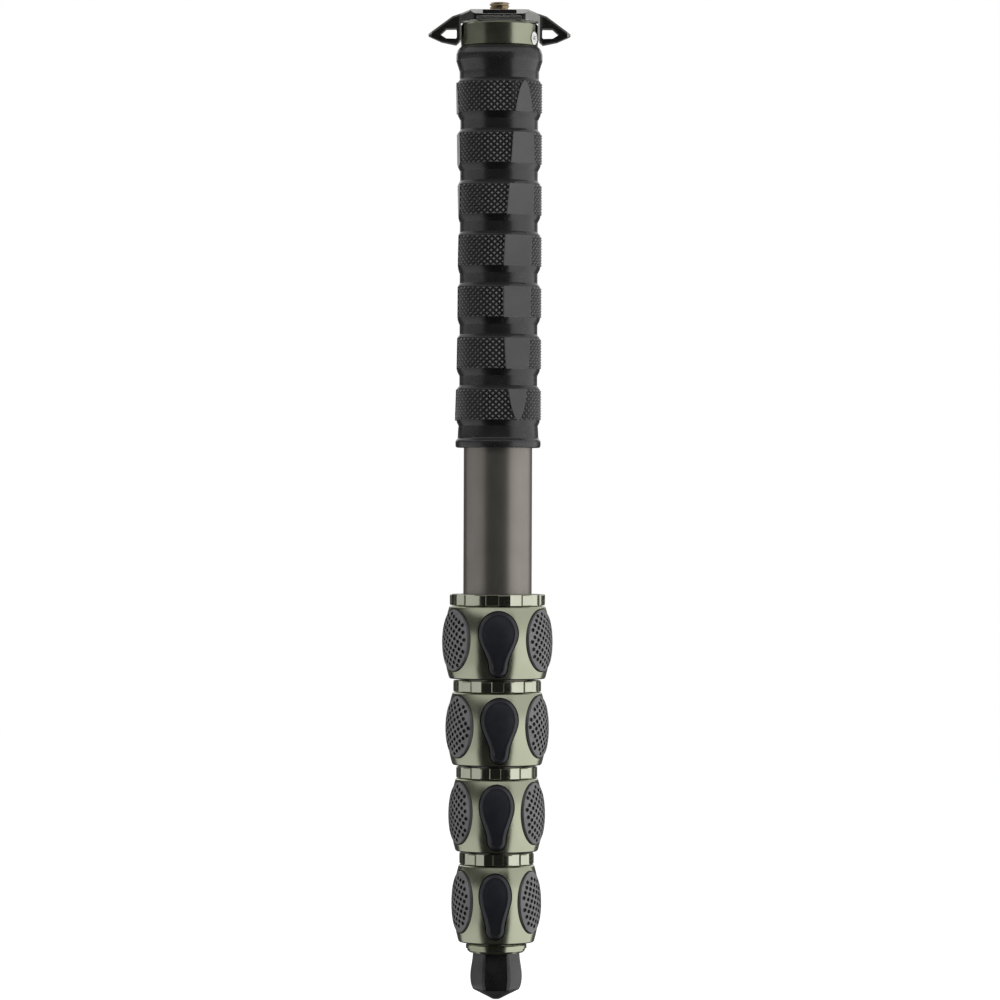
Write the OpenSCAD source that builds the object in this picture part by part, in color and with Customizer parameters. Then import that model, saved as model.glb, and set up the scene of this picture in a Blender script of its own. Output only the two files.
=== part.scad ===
// Folding camera monopod with five nested tube sections and four twist locks, shown folded.
// Millimetres. The origin is the tip of the foot on the axis, +Z runs up to the camera screw
// and -Y is the front. Angles run from +X towards +Y, so the front is at 270 degrees.

/* [Tubes] */
// Outside diameter of the top tube
tube_d = 32; // [30:0.5:40]
// Wall of every tube
tube_wall = 1.2; // [0.8:0.1:1.6]
// Radial gap between a tube's bore and the next tube inside it
tube_gap = 0.4; // [0.3:0.05:0.6]
// Bare top tube between the grip and the first lock
bare_tube = 68.5; // [40:0.5:120]

/* [Twist locks] */
// Height of a lock body
lock_body_h = 33.9; // [33:0.1:40]
// Extra height of the lowest lock body
low_lock_extra = 2.2; // [0:0.1:6]
// How far the rim of a lock stands out from its tube
lock_rim = 6.4; // [6:0.1:8]
// How far the middle of a lock body bulges past its rim
lock_bulge = 2.6; // [1.5:0.1:4]
// Gap between two stacked locks, and between the lowest lock and the foot collar
stack_gap = 0.9; // [0.6:0.1:3]
// Height of the bottom end of a tube above the bottom of its lock
collet_top = 14; // [13:0.1:16]
// Wall of the threaded sleeve on the end of a tube
sleeve_wall = 2.2; // [1.8:0.1:2.8]
// Rounding at both ends of a lock body
lock_round = 0.8; // [0.5:0.1:1.2]

/* [Lock rings] */
// Height of the castellated ring on top of a lock
ring_h = 5.1; // [3:0.1:8]
// Gap between the ring and the lock body
ring_gap = 0.4; // [0.3:0.1:1]
// Flats cut into the ring
ring_flats = 12; // [6:1:16]
// Width of one flat as a share of its pitch
ring_flat_share = 0.52; // [0.3:0.01:0.6]
// Depth of a flat below the ring's edge
ring_flat_depth = 0.9; // [0.4:0.05:1.4]
// Chamfer on both edges of the ring
ring_chamfer = 0.35; // [0.1:0.05:0.6]

/* [Lock pads] */
// How far a dimpled oval pad stands above the lock body
oval_proud = 0.9; // [0.4:0.05:1.5]
// How far a smooth bulb pad stands above the lock body
bulb_proud = 0.5; // [0.2:0.05:1]
// Depth of the flat floors of the pad pockets below the lock's rim
pad_depth = 1.4; // [0.8:0.05:1.8]
// Gap round a pad in its pocket
pad_gap = 0.5; // [0.1:0.05:0.55]
// Half angle that an oval pad covers
oval_angle = 28; // [22:0.5:30]
// Half height of an oval pad
oval_half_h = 14.3; // [10:0.1:14.4]
// Height of an oval pad's middle above the bottom of its lock
oval_z = 18.1; // [17:0.1:18.2]
// Half angle that a bulb pad covers
bulb_angle = 21.5; // [15:0.5:24]
// Height of a bulb pad
bulb_h = 30.4; // [27:0.1:31]
// Height of the lower end of a bulb pad above the bottom of its lock
bulb_z = 1.3; // [1.2:0.1:1.6]
// Height of a bulb pad's round cap above its widest place
bulb_cap = 10.2; // [8:0.1:12]
// Height of a bulb pad's narrow neck
bulb_neck = 4.8; // [4:0.1:8]
// Half width of that neck
bulb_end_w = 4.2; // [2.5:0.1:4.5]

/* [Collets and seals] */
// Wall of a collet at its thin lower end
collet_thin = 1.2; // [0.8:0.1:1.4]
// Wall of a collet at its thick upper end
collet_thick = 3; // [2.4:0.1:3.4]
// Height of a collet
collet_h = 7.9; // [5:0.1:8.2]
// Width of a slit in a collet
collet_slit = 1.2; // [0.6:0.1:2]
// Height of a dust seal
seal_h = 2.4; // [1:0.1:2.6]
// Radial depth of the seal groove
seal_depth = 2.2; // [1.2:0.1:2.6]
// Thickness of the lip under the dust seal
seal_lip = 2.2; // [1:0.1:2.4]

/* [Guide shims and plugs] */
// Length of the guide shims on the top of an inner tube
shim_len = 45; // [20:1:80]
// Distance of the shims below the top of their tube
shim_drop = 4; // [2:0.5:10]
// Slit between the two halves of a guide shim
shim_slit = 1.5; // [0.5:0.1:3]
// Flange thickness of an end plug
plug_flange = 1.2; // [0.8:0.1:3]
// Length of an end plug inside its tube
plug_len = 5; // [3:0.5:12]
// Wall of an end plug
plug_wall = 1.6; // [1:0.1:3]
// Headroom above an end plug when folded
plug_headroom = 1; // [0.5:0.1:4]

/* [Grip] */
// Length of the rubber grip
grip_len = 187.4; // [170:0.1:230]
// Radius of the textured bands over the tube radius
band_rise = 4.2; // [3.4:0.1:5]
// Radius of the grooves over the tube radius
groove_rise = 2.2; // [1.4:0.1:2.6]
// Number of textured bands
bands = 7; // [3:1:7]
// Length of one textured band
band_len = 15.4; // [12:0.1:16]
// Smooth cuff above the first band
top_cuff = 16.3; // [14:0.1:24]
// Smooth cuff below the last band
low_cuff = 12.2; // [11:0.1:20]
// Depth of the three smooth panels at their middle
panel_depth = 1.35; // [0.6:0.05:1.6]
// Half length of a smooth panel
panel_half = 79; // [50:1:82]

/* [Head] */
// Height of the metal collar under the camera plate
collar_h = 10.9; // [10:0.1:16]
// Wall of the collar round the tube
collar_wall = 2; // [1.4:0.1:3]
// Depth of the tube's seat in the collar
collar_seat = 7.7; // [7.2:0.1:8.4]
// Length of the plug inside the top of the main tube
head_plug_len = 12; // [8:0.5:30]
// Radius of the turned neck between the collar and the plate
neck_r = 10.6; // [9.8:0.1:11.4]
// Height of the open gap between the collar and the plate
neck_gap = 0.8; // [0.5:0.1:3]
// Radius of the plate's spigot in the collar
spigot_r = 8.6; // [6.5:0.1:9.2]
// Length of the plate's spigot
spigot_len = 2.6; // [1:0.1:3]
// Thickness of the camera plate
plate_t = 5.2; // [4.6:0.1:7]
// Half length of the plate's broad middle
plate_half_l = 11; // [10:0.1:13]
// Half width of the plate's broad middle
plate_half_w = 12; // [11.6:0.1:14]
// Width of the notch in the front and in the back of the plate
notch_w = 15.8; // [8:0.1:18]
// Depth of a notch below the plate's top
notch_t = 2.3; // [1:0.1:2.8]
// Distance of a notch's back wall from the axis
notch_r = 9.4; // [8.4:0.1:10.4]
// Length of the thin groove in the plate's front and back faces
face_groove_l = 20.8; // [12:0.1:21.4]
// Height of that groove
face_groove_h = 0.9; // [0.5:0.05:1]
// Distance of that groove's upper side below the plate's top
face_groove_z = 3.4; // [3.2:0.05:3.4]
// Depth of that groove
face_groove_t = 1.2; // [0.4:0.1:1.4]

/* [Strap lugs] */
// Reach of a strap lug from the axis
lug_reach = 33.2; // [31:0.1:38]
// Distance from the axis at which the plate's flat top ends and a lug begins to droop
lug_start = 13.5; // [12:0.1:16]
// Distance from the axis at which a lug's upper edge bends down
lug_bend = 22; // [20:0.1:24]
// Drop of that bend below the plate's top
lug_bend_drop = 2.7; // [1.6:0.1:3.4]
// Drop of a lug's tip below the plate's top
lug_drop = 11.3; // [10.6:0.1:12]
// Depth of a lug's lower corner below the plate's top
lug_depth = 15.8; // [15.2:0.1:16.4]
// Distance from the axis at which a lug is fully narrowed
lug_slim = 20; // [17:0.1:22]
// Half width of a lug at its root
lug_root_w = 4.6; // [3.6:0.1:6]
// Half width of a lug near its tip
lug_tip_w = 3; // [2.4:0.1:3.5]
// Wall between the collar's side of a lug and its strap window
lug_root_wall = 1.9; // [1.2:0.1:2.2]
// Length of the strap window
window_len = 7.8; // [7:0.1:8.4]
// Top of the strap window below the plate's top
window_top = 8.3; // [7.8:0.1:8.6]
// Bottom of the strap window below the plate's top
window_low = 13.2; // [12.9:0.1:13.5]

/* [Camera screw] */
// Thread diameter of the camera screw, three eighths of an inch
screw_d = 9.525; // [9:0.025:10]
// Height of the camera screw above the plate
screw_h = 4; // [3.5:0.1:10]
// Thread diameter of the screw's lower end, a quarter of an inch
screw_tail_d = 6.35; // [5:0.05:7]
// Length of the screw's lower end
screw_tail = 15; // [8:0.5:16]
// Radius of the flange between the two threads
screw_flange_r = 6.2; // [5.4:0.1:7.5]
// Thickness of that flange
screw_flange_t = 1.6; // [0.8:0.1:2.4]
// Depth of the flange's face below the plate's top
screw_sink = 0.2; // [0.1:0.05:0.5]
// Width of the driver slot in the end of the screw
screw_slot_w = 1.6; // [0.8:0.1:2.2]

/* [Set screw] */
// Angle of the set screw round the axis
set_angle = 334; // [320:1:345]
// Height of the set screw above the bottom of the collar
set_z = 3.6; // [3.5:0.1:4.2]
// Head diameter of the set screw
set_head_d = 6; // [4.5:0.1:6.6]
// Shank diameter of the set screw
set_shank_d = 4; // [2:0.1:4.4]
// Width across the corners of the key socket
set_key = 3; // [1.5:0.1:3.6]

/* [Foot] */
// Height of the rubber foot
foot_h = 22; // [18:0.1:34]
// Half width of the foot across its flats, at its widest
foot_flat_r = 10.9; // [9:0.1:12]
// Greatest radius of the foot's rounded corners
foot_corner_r = 12.1; // [10.5:0.1:13]
// Height of the foot's widest part
foot_wide_z = 10.9; // [9.5:0.1:13]
// Half width of the foot across its flats, at its top
foot_top_r = 9.7; // [8:0.1:10.5]
// Height of the pointed end of the foot
foot_point_h = 4.2; // [2:0.1:6]
// Radius of the blunt tip
foot_tip_r = 1.4; // [0.8:0.1:3]
// Radius of the metal collar above the foot
foot_collar_r = 14.2; // [12.5:0.1:16]
// Height of that collar
foot_collar_h = 3.9; // [3:0.1:8]
// Thread diameter of the foot's stud
stud_d = 9.525; // [6:0.025:10.5]
// Length of stud inside the foot
stud_in_foot = 13; // [6:0.5:14]
// Length of stud inside the tube
stud_in_tube = 13; // [8:0.5:20]
// Length of the threaded insert in the lowest tube
insert_len = 17; // [15:0.5:30]

/* [Fits] */
// Radial gap of a glued or pressed joint inside one section
bond = 0.02; // [0.01:0.01:0.05]
// Radial gap of a sliding or screwed fit
slide_fit = 0.06; // [0.02:0.01:0.1]
// Radial gap between parts that turn or pass without touching
run_gap = 0.3; // [0.2:0.05:0.35]

/* [Hidden] */
$fn = 96;
locks = 4;
sections = locks + 1;
// How far a cutter runs past what it cuts
over = 1;
// Directions of the oval pads, the bulb pads and the smooth panels of the grip
oval_at = [90, 210, 330];
bulb_at = [30, 150, 270];
panel_at = [57, 177, 297];
// Angles by which the locks and the flats of their rings are turned from the front, from the top lock down
lock_turn = [1.2, 3.2, 0, -1.6];
ring_turn = [-6.2, 0.9, -2.2, 2.5];
// Small steps and broken edges, from the locks up to the plate and then down to the foot
ring_inset = 0.1;
slit_share = 0.75;
flange_h = 3.2;
flange_edge = 0.6;
flange_inset = 0.3;
cuff_rise = 0.7;
cuff_fall = 0.2;
cuff_end = 3.6;
band_edge = 0.5;
band_lip_low = 0.4;
band_lip_high = 0.6;
groove_low = 1.9;
groove_high = 4.8;
last_groove_rise = 0.4;
shoulder = [[0.5, 8], [0, 6.6], [0, 3.6], [0.7, 1.4], [2, 0]];
collar_low_edge = 0.5;
collar_top_edge = 0.8;
set_proud = 0.15;
set_seat = 0.1;
set_shank_in = 5;
set_key_h = 1.4;
lug_nose = 0.5;
lug_corner = 2.2;
lug_belly_l = 6.2;
lug_belly_h = 1.3;
lug_round = 1.5;
window_edge = 0.5;
window_taper = 0.15;
window_shoulder = 4.85;
screw_edge = 0.7;
screw_slot_h = 1.6;
collar_lip = 0.7;
collar_lip_z = 1.7;
collar_lip_edge = 0.2;
collar_base_edge = 0.9;
foot_shoulder = 0.82;
foot_tip_grow = 1.12;
olive = [0.53, 0.54, 0.44];
olive_bright = [0.62, 0.63, 0.52];
gunmetal = [0.25, 0.25, 0.24];
taupe = [0.42, 0.40, 0.36];
rubber_black = [0.13, 0.13, 0.14];
rubber_grey = [0.25, 0.25, 0.27];
nylon = [0.16, 0.16, 0.17];
steel = [0.72, 0.72, 0.72];
brass = [0.70, 0.52, 0.34];

// Radii of section i, counted from the top
function tube_r(i) = tube_d / 2 - (i - 1) * (tube_wall + tube_gap);
function bore_r(i) = tube_r(i) - tube_wall;
function sleeve_r(i) = tube_r(i) + bond + sleeve_wall;
function rim_r(i) = tube_r(i) + lock_rim;
function mid_r(i) = rim_r(i) + lock_bulge;

// Heights of lock i
function body_h(i) = lock_body_h + (i == locks ? low_lock_extra : 0);
function lock_h(i) = body_h(i) + ring_gap + ring_h;
function lock_z(i) = stack_gap + (i >= locks ? foot_h + foot_collar_h : lock_z(i + 1) + lock_h(i + 1));
function pad_floor(i) = rim_r(i) - pad_depth;
function pad_far(i) = mid_r(i) + oval_proud + over;
function arc_r(i) = (body_h(i) * body_h(i) / 4 + lock_bulge * lock_bulge) / (2 * lock_bulge);

// Heights along the axis
grip_z = lock_z(1) + lock_h(1) + bare_tube;
collar_z = grip_z + grip_len;
plate_low = collar_z + collar_h + neck_gap;
plate_z = plate_low + plate_t;

// Ends of tube i
function tube_low(i) = i == sections ? foot_h + foot_web : lock_z(i) + collet_top;
function tube_top(i) = i == 1 ? collar_z + collar_seat : plug_low(i - 1) - plug_headroom - plug_flange;
function plug_low(i) = tube_top(i) - (i == 1 ? head_plug_len : plug_len);
foot_web = 1.4;

module pipe(r_out, r_in, h) {
    difference() {
        cylinder(h = h, r = r_out);
        translate([0, 0, -over]) cylinder(h = h + 2 * over, r = r_in);
    }
}

// Stands a flat outline upright and runs it outwards in the direction a, between two distances from the axis
module outwards(a, near, far) {
    rotate([0, 0, a]) translate([near, 0, 0]) rotate([90, 0, 90]) linear_extrude(far - near) children();
}

// Half section of a lock body's outside, grown outwards by the given amount
function barrel_r(i, grow, z) = mid_r(i) - arc_r(i)
    + sqrt(pow(arc_r(i) + grow, 2) - pow(z - body_h(i) / 2, 2));
module barrel_outline(i, grow) {
    steps = 16;
    polygon(concat(
        [[0, 0]],
        [for (k = [0:steps]) let (z = body_h(i) * k / steps) [barrel_r(i, grow, z), z]],
        [[0, body_h(i)]]
    ));
}

module barrel(i, grow) {
    rotate_extrude() barrel_outline(i, grow);
}

// Corner to take off a half section so that it is left rounded
module round_off(r, z, size, up) {
    translate([r - size, z + up * size]) difference() {
        translate([0, up > 0 ? -size - over : 0]) square([size + over, size + over]);
        circle(size);
    }
}

// Rises smoothly from 0 to 1
function ease(u) = u * u * (3 - 2 * u);

// The same points mirrored, in the opposite order
function flipped(points) = [for (k = [len(points) - 1:-1:0]) [-points[k][0], points[k][1]]];

// Pads sit higher in the taller lowest lock
function pad_shift(i) = (body_h(i) - lock_body_h) / 2;

// Outline of an oval pad, from the bottom of lock i
module oval_outline(i, grow) {
    half_w = mid_r(i) * sin(oval_angle) + grow;
    half_h = oval_half_h + grow;
    steps = 40;
    translate([0, pad_shift(i) + oval_z]) {
        polygon([
            for (k = [0:steps - 1]) let (t = (k + 0.5) * 360 / steps) [half_w * cos(t), half_h * sin(t)]
        ]);
    }
}

// Right half of a bulb pad's outline from its lower end up: a small round end, a neck and a domed head
function bulb_half(head, end, low, neck, wide, cap) = concat(
    [for (k = [0:3]) let (t = 22.5 * k + 11) [end * sin(t), neck - (neck - low) * cos(t)]],
    [for (k = [0:8]) let (u = k / 8) [end + (head - end) * ease(u), neck + (wide - neck) * u]],
    [for (k = [1:7]) let (t = 12 * k) [head * cos(t), wide + cap * sin(t)]]
);

module bulb_outline(i, grow) {
    low = pad_shift(i) + bulb_z;
    half = bulb_half(
        mid_r(i) * sin(bulb_angle) + grow, bulb_end_w + grow,
        low - grow, low + bulb_neck, low + bulb_h - bulb_cap, bulb_cap + grow
    );
    polygon(concat(half, flipped(half)));
}

// Half section of what is hollow inside lock body i
module lock_hollow(i) {
    inner = tube_r(i + 1);
    floor_z = collet_top - collet_h - run_gap;
    polygon([
        [0, -over],
        [inner + run_gap, -over],
        [inner + run_gap, seal_lip],
        [inner + seal_depth, seal_lip],
        [inner + seal_depth, seal_lip + seal_h],
        [inner + run_gap, seal_lip + seal_h],
        [inner + run_gap, floor_z],
        [inner + collet_thin + run_gap, floor_z],
        [inner + collet_thick + run_gap, collet_top - run_gap],
        [sleeve_r(i) + run_gap, collet_top - run_gap],
        [sleeve_r(i) + run_gap, body_h(i) + over],
        [0, body_h(i) + over]
    ]);
}

module lock_body(i) {
    color(olive) translate([0, 0, lock_z(i)]) rotate([0, 0, lock_turn[i - 1]]) difference() {
        rotate_extrude() difference() {
            barrel_outline(i, 0);
            lock_hollow(i);
            round_off(rim_r(i), 0, lock_round, 1);
            round_off(rim_r(i), body_h(i), lock_round, -1);
        }
        for (a = oval_at) outwards(a, pad_floor(i), pad_far(i)) oval_outline(i, pad_gap);
        for (a = bulb_at) outwards(a, pad_floor(i), pad_far(i)) bulb_outline(i, pad_gap);
    }
}

module oval_pads(i) {
    color(rubber_grey) translate([0, 0, lock_z(i)]) for (a = oval_at) intersection() {
        barrel(i, oval_proud);
        outwards(a + lock_turn[i - 1], pad_floor(i) + bond, pad_far(i)) oval_outline(i, 0);
    }
}

module bulb_pads(i) {
    color(rubber_black) translate([0, 0, lock_z(i)]) for (a = bulb_at) intersection() {
        barrel(i, bulb_proud);
        outwards(a + lock_turn[i - 1], pad_floor(i) + bond, pad_far(i)) bulb_outline(i, 0);
    }
}

module lock_ring(i) {
    pitch = 360 / ring_flats;
    outer = rim_r(i) - ring_inset;
    flat_w = 2 * outer * sin(pitch * ring_flat_share / 2);
    color(olive_bright) translate([0, 0, lock_z(i) + body_h(i) + ring_gap]) difference() {
        rotate_extrude() polygon([
            [sleeve_r(i) + bond, 0],
            [outer - ring_chamfer, 0],
            [outer, ring_chamfer],
            [outer, ring_h - ring_chamfer],
            [outer - ring_chamfer, ring_h],
            [sleeve_r(i) + bond, ring_h]
        ]);
        for (k = [0:ring_flats - 1]) rotate([0, 0, 270 + ring_turn[i - 1] + k * pitch]) {
            translate([outer - ring_flat_depth, -flat_w / 2, -over]) {
                cube([2 * ring_flat_depth, flat_w, ring_h + 2 * over]);
            }
        }
    }
}

module lock_sleeve(i) {
    color(steel) translate([0, 0, lock_z(i) + collet_top]) {
        pipe(sleeve_r(i), tube_r(i) + bond, lock_h(i) - collet_top);
    }
}

module collet(i) {
    inner = tube_r(i + 1);
    color(nylon) translate([0, 0, lock_z(i) + collet_top - collet_h]) difference() {
        rotate_extrude() polygon([
            [inner + slide_fit, 0],
            [inner + collet_thin, 0],
            [inner + collet_thick, collet_h - run_gap],
            [inner + collet_thick, collet_h],
            [inner + slide_fit, collet_h]
        ]);
        for (a = [0, 90, 180, 270]) rotate([0, 0, a]) {
            translate([0, -collet_slit / 2, -over]) {
                cube([inner + collet_thick + over, collet_slit, over + collet_h * slit_share]);
            }
        }
    }
}

module dust_seal(i) {
    inner = tube_r(i + 1);
    color(rubber_black) translate([0, 0, lock_z(i) + seal_lip]) {
        pipe(inner + seal_depth - bond, inner + slide_fit, seal_h);
    }
}

module tube(i) {
    color(taupe) difference() {
        translate([0, 0, tube_low(i)]) pipe(tube_r(i), bore_r(i), tube_top(i) - tube_low(i));
        if (i == 1) set_screw_hole(set_shank_d / 2);
    }
}

module guide_shims(i) {
    color(nylon) translate([0, 0, tube_top(i) - shim_drop - shim_len]) difference() {
        pipe(bore_r(i - 1) - slide_fit, tube_r(i) + bond, shim_len);
        translate([-tube_d, -shim_slit / 2, -over]) cube([2 * tube_d, shim_slit, shim_len + 2 * over]);
    }
}

module end_plug(i) {
    spigot = bore_r(i) - bond;
    color(nylon) translate([0, 0, tube_top(i) - plug_len]) {
        pipe(spigot, spigot - plug_wall, plug_len);
        translate([0, 0, plug_len]) cylinder(h = plug_flange, r = tube_r(i));
    }
}

// Bands of the grip, counted from the bottom
grip_r = tube_d / 2 + band_rise;
groove_r = tube_d / 2 + groove_rise;
band_pitch = (grip_len - top_cuff - low_cuff - band_len) / (bands - 1);
function band_low(k) = low_cuff + k * band_pitch;
function groove_lift(k) = k == bands - 1 ? last_groove_rise : 0;

// Half section of the grip from its lower cuff to its upper one
module grip_outline() {
    polygon(concat(
        [
            [tube_d / 2 + bond, 0],
            [grip_r - flange_inset - flange_edge, 0],
            [grip_r - flange_inset, flange_edge],
            [grip_r - flange_inset, flange_h],
            [groove_r + cuff_rise, flange_h + 2 * flange_edge],
            [groove_r + cuff_rise - cuff_fall, low_cuff - cuff_end]
        ],
        [for (k = [0:bands - 1]) let (z = band_low(k), foot = groove_r + groove_lift(k)) for (p = [
            [grip_r - band_lip_low, z - band_lip_low],
            [grip_r, z + band_edge],
            [grip_r, z + band_len - band_edge],
            [grip_r - band_lip_high, z + band_len],
            [foot, z + band_len + groove_low],
            [foot, z + band_len + groove_high]
        ]) p],
        [for (p = shoulder) [grip_r - p[0], grip_len - p[1]]],
        [[tube_d / 2 + bond, grip_len]]
    ));
}

// Depth to which a smooth panel is cut at a height v from the grip's middle, negative past its ends
function panel_cut(v) = panel_depth * (1 - pow(abs(v) / panel_half, 3));

// Side view of what is cut away over one panel
module panel_side() {
    steps = 16;
    past = panel_half * 1.06;
    polygon(concat(
        [for (k = [-steps:steps]) let (v = past * k / steps) [grip_r - panel_cut(v), v]],
        [[grip_r + 2 * over, past], [grip_r + 2 * over, -past]]
    ));
}

module handle_grip() {
    mid = (low_cuff + grip_len - top_cuff) / 2;
    color(rubber_black) translate([0, 0, grip_z]) difference() {
        rotate_extrude() grip_outline();
        for (a = panel_at) rotate([0, 0, a]) translate([0, 0, mid]) rotate([90, 0, 0]) {
            linear_extrude(2 * grip_r, center = true) panel_side();
        }
    }
}

// Lays what stands on the axis out along the set screw
module set_screw_place() {
    translate([0, 0, collar_z + set_z]) rotate([0, 90, set_angle]) children();
}

module set_screw_hole(r) {
    set_screw_place() translate([0, 0, tube_d / 4]) cylinder(h = tube_d / 2, r = r + bond);
}

module head_collar() {
    outer = tube_d / 2 + collar_wall;
    color(olive) difference() {
        translate([0, 0, collar_z]) rotate_extrude() polygon([
            [spigot_r + bond, collar_seat],
            [tube_d / 2 + bond, collar_seat],
            [tube_d / 2 + bond, 0],
            [outer - collar_low_edge, 0],
            [outer, collar_low_edge],
            [outer, collar_h - collar_top_edge],
            [outer - collar_top_edge, collar_h],
            [spigot_r + bond, collar_h]
        ]);
        set_screw_hole(set_head_d / 2);
    }
}

module collar_set_screw() {
    seat = tube_d / 2 + set_seat;
    face = tube_d / 2 + collar_wall + set_proud;
    color(steel) set_screw_place() difference() {
        union() {
            translate([0, 0, seat]) cylinder(h = face - seat, r = set_head_d / 2);
            translate([0, 0, seat - set_shank_in]) cylinder(h = set_shank_in + bond, r = set_shank_d / 2);
        }
        translate([0, 0, face - set_key_h]) cylinder(h = set_key_h + over, r = set_key / 2, $fn = 6);
    }
}

module head_plug() {
    color(nylon) difference() {
        translate([0, 0, plug_low(1)]) pipe(bore_r(1) - bond, screw_tail_d / 2 + bond, head_plug_len);
        set_screw_hole(set_shank_d / 2);
    }
}

// Quarter of the camera plate's plan, from its broad middle out to the tip of a lug
function plan_w(u) = plate_half_w - (plate_half_w - lug_root_w) * ease(u);
plan_quarter = concat(
    [for (k = [0:8]) [plate_half_l + (lug_slim - plate_half_l) * k / 8, plan_w(k / 8)]],
    [
        [lug_reach - lug_round, lug_tip_w],
        [lug_reach - lug_round * (1 - sin(45)), lug_tip_w - lug_round * (1 - sin(45))],
        [lug_reach, lug_tip_w - lug_round]
    ]
);
function turned(points) = [for (p = points) [-p[0], -p[1]]];
module plate_plan() {
    half = concat(plan_quarter, turned(flipped(plan_quarter)));
    polygon(concat(half, turned(half)));
}

// Half of the plate's side view from the axis outwards, with the plate's top at height zero
lug_root = tube_d / 2 + collar_wall + slide_fit;
side_half = [
    [lug_root, -plate_t],
    [lug_root, -lug_depth + lug_corner],
    [lug_root + lug_corner, -lug_depth],
    [lug_reach - lug_belly_l, -lug_depth + lug_belly_h],
    [lug_reach, -lug_drop - lug_nose],
    [lug_reach, -lug_drop + lug_nose],
    [lug_bend, -lug_bend_drop],
    [lug_start, 0]
];

// Strap window of the right lug in the same view
module lug_window() {
    window = lug_root + lug_root_wall;
    polygon([
        [window, -window_top - window_edge],
        [window + window_edge, -window_top],
        [window + window_shoulder, -window_top - window_taper],
        [window + window_len, -(window_top + window_low) / 2 - window_edge],
        [window + window_shoulder, -window_low + window_taper],
        [window + window_edge, -window_low],
        [window, -window_low + window_edge]
    ]);
}

module plate_side() {
    difference() {
        polygon(concat(side_half, flipped(side_half)));
        lug_window();
        mirror([1, 0]) lug_window();
    }
}

module head_plate() {
    face_groove_low = plate_z - face_groove_z - face_groove_h;
    color(gunmetal) difference() {
        union() {
            intersection() {
                translate([0, 0, plate_z - lug_depth - over]) {
                    linear_extrude(lug_depth + 2 * over) plate_plan();
                }
                translate([0, 0, plate_z]) rotate([90, 0, 0]) {
                    linear_extrude(4 * plate_half_w, center = true) plate_side();
                }
            }
            translate([0, 0, collar_z + collar_h]) cylinder(h = neck_gap + bond, r = neck_r);
            translate([0, 0, collar_z + collar_h - spigot_len]) cylinder(h = spigot_len + bond, r = spigot_r);
        }
        for (a = [90, 270]) rotate([0, 0, a]) {
            translate([notch_r, -notch_w / 2, plate_z - notch_t]) {
                cube([plate_half_w, notch_w, notch_t + over]);
            }
            translate([plate_half_w - face_groove_t, -face_groove_l / 2, face_groove_low]) {
                cube([plate_half_w, face_groove_l, face_groove_h]);
            }
        }
        translate([0, 0, plate_z - screw_sink - screw_flange_t]) {
            cylinder(h = plate_t, r = screw_flange_r + bond);
        }
        translate([0, 0, collar_z]) cylinder(h = collar_h + neck_gap + plate_t, r = screw_tail_d / 2 + bond);
    }
}

module camera_screw() {
    flange_z = plate_z - screw_sink - screw_flange_t;
    end_z = plate_z + screw_h;
    color(brass) difference() {
        union() {
            translate([0, 0, flange_z]) cylinder(h = screw_flange_t, r = screw_flange_r);
            translate([0, 0, flange_z]) cylinder(h = end_z - screw_edge - flange_z, r = screw_d / 2);
            translate([0, 0, end_z - screw_edge]) {
                cylinder(h = screw_edge, r1 = screw_d / 2, r2 = screw_d / 2 - screw_edge);
            }
            translate([0, 0, flange_z - screw_tail]) cylinder(h = screw_tail + bond, r = screw_tail_d / 2);
        }
        translate([-screw_d, -screw_slot_w / 2, end_z - screw_slot_h]) {
            cube([2 * screw_d, screw_slot_w, screw_slot_h + over]);
        }
    }
}

module foot_collar() {
    color(olive) translate([0, 0, foot_h]) rotate_extrude() polygon([
        [stud_d / 2 + run_gap, 0],
        [foot_collar_r - collar_lip - collar_base_edge, 0],
        [foot_collar_r - collar_lip, collar_base_edge],
        [foot_collar_r - collar_lip, collar_lip_z],
        [foot_collar_r, collar_lip_z + collar_lip_edge],
        [foot_collar_r, foot_collar_h - collar_low_edge],
        [foot_collar_r - collar_low_edge, foot_collar_h],
        [tube_r(sections) + bond, foot_collar_h],
        [tube_r(sections) + bond, foot_web],
        [stud_d / 2 + run_gap, foot_web]
    ]);
}

module foot_insert() {
    color(steel) translate([0, 0, tube_low(sections)]) {
        pipe(bore_r(sections) - bond, stud_d / 2 + slide_fit, insert_len);
    }
}

module foot_stud() {
    color(steel) translate([0, 0, foot_h - stud_in_foot]) {
        cylinder(h = stud_in_foot + stud_in_tube, r = stud_d / 2);
    }
}

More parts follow.
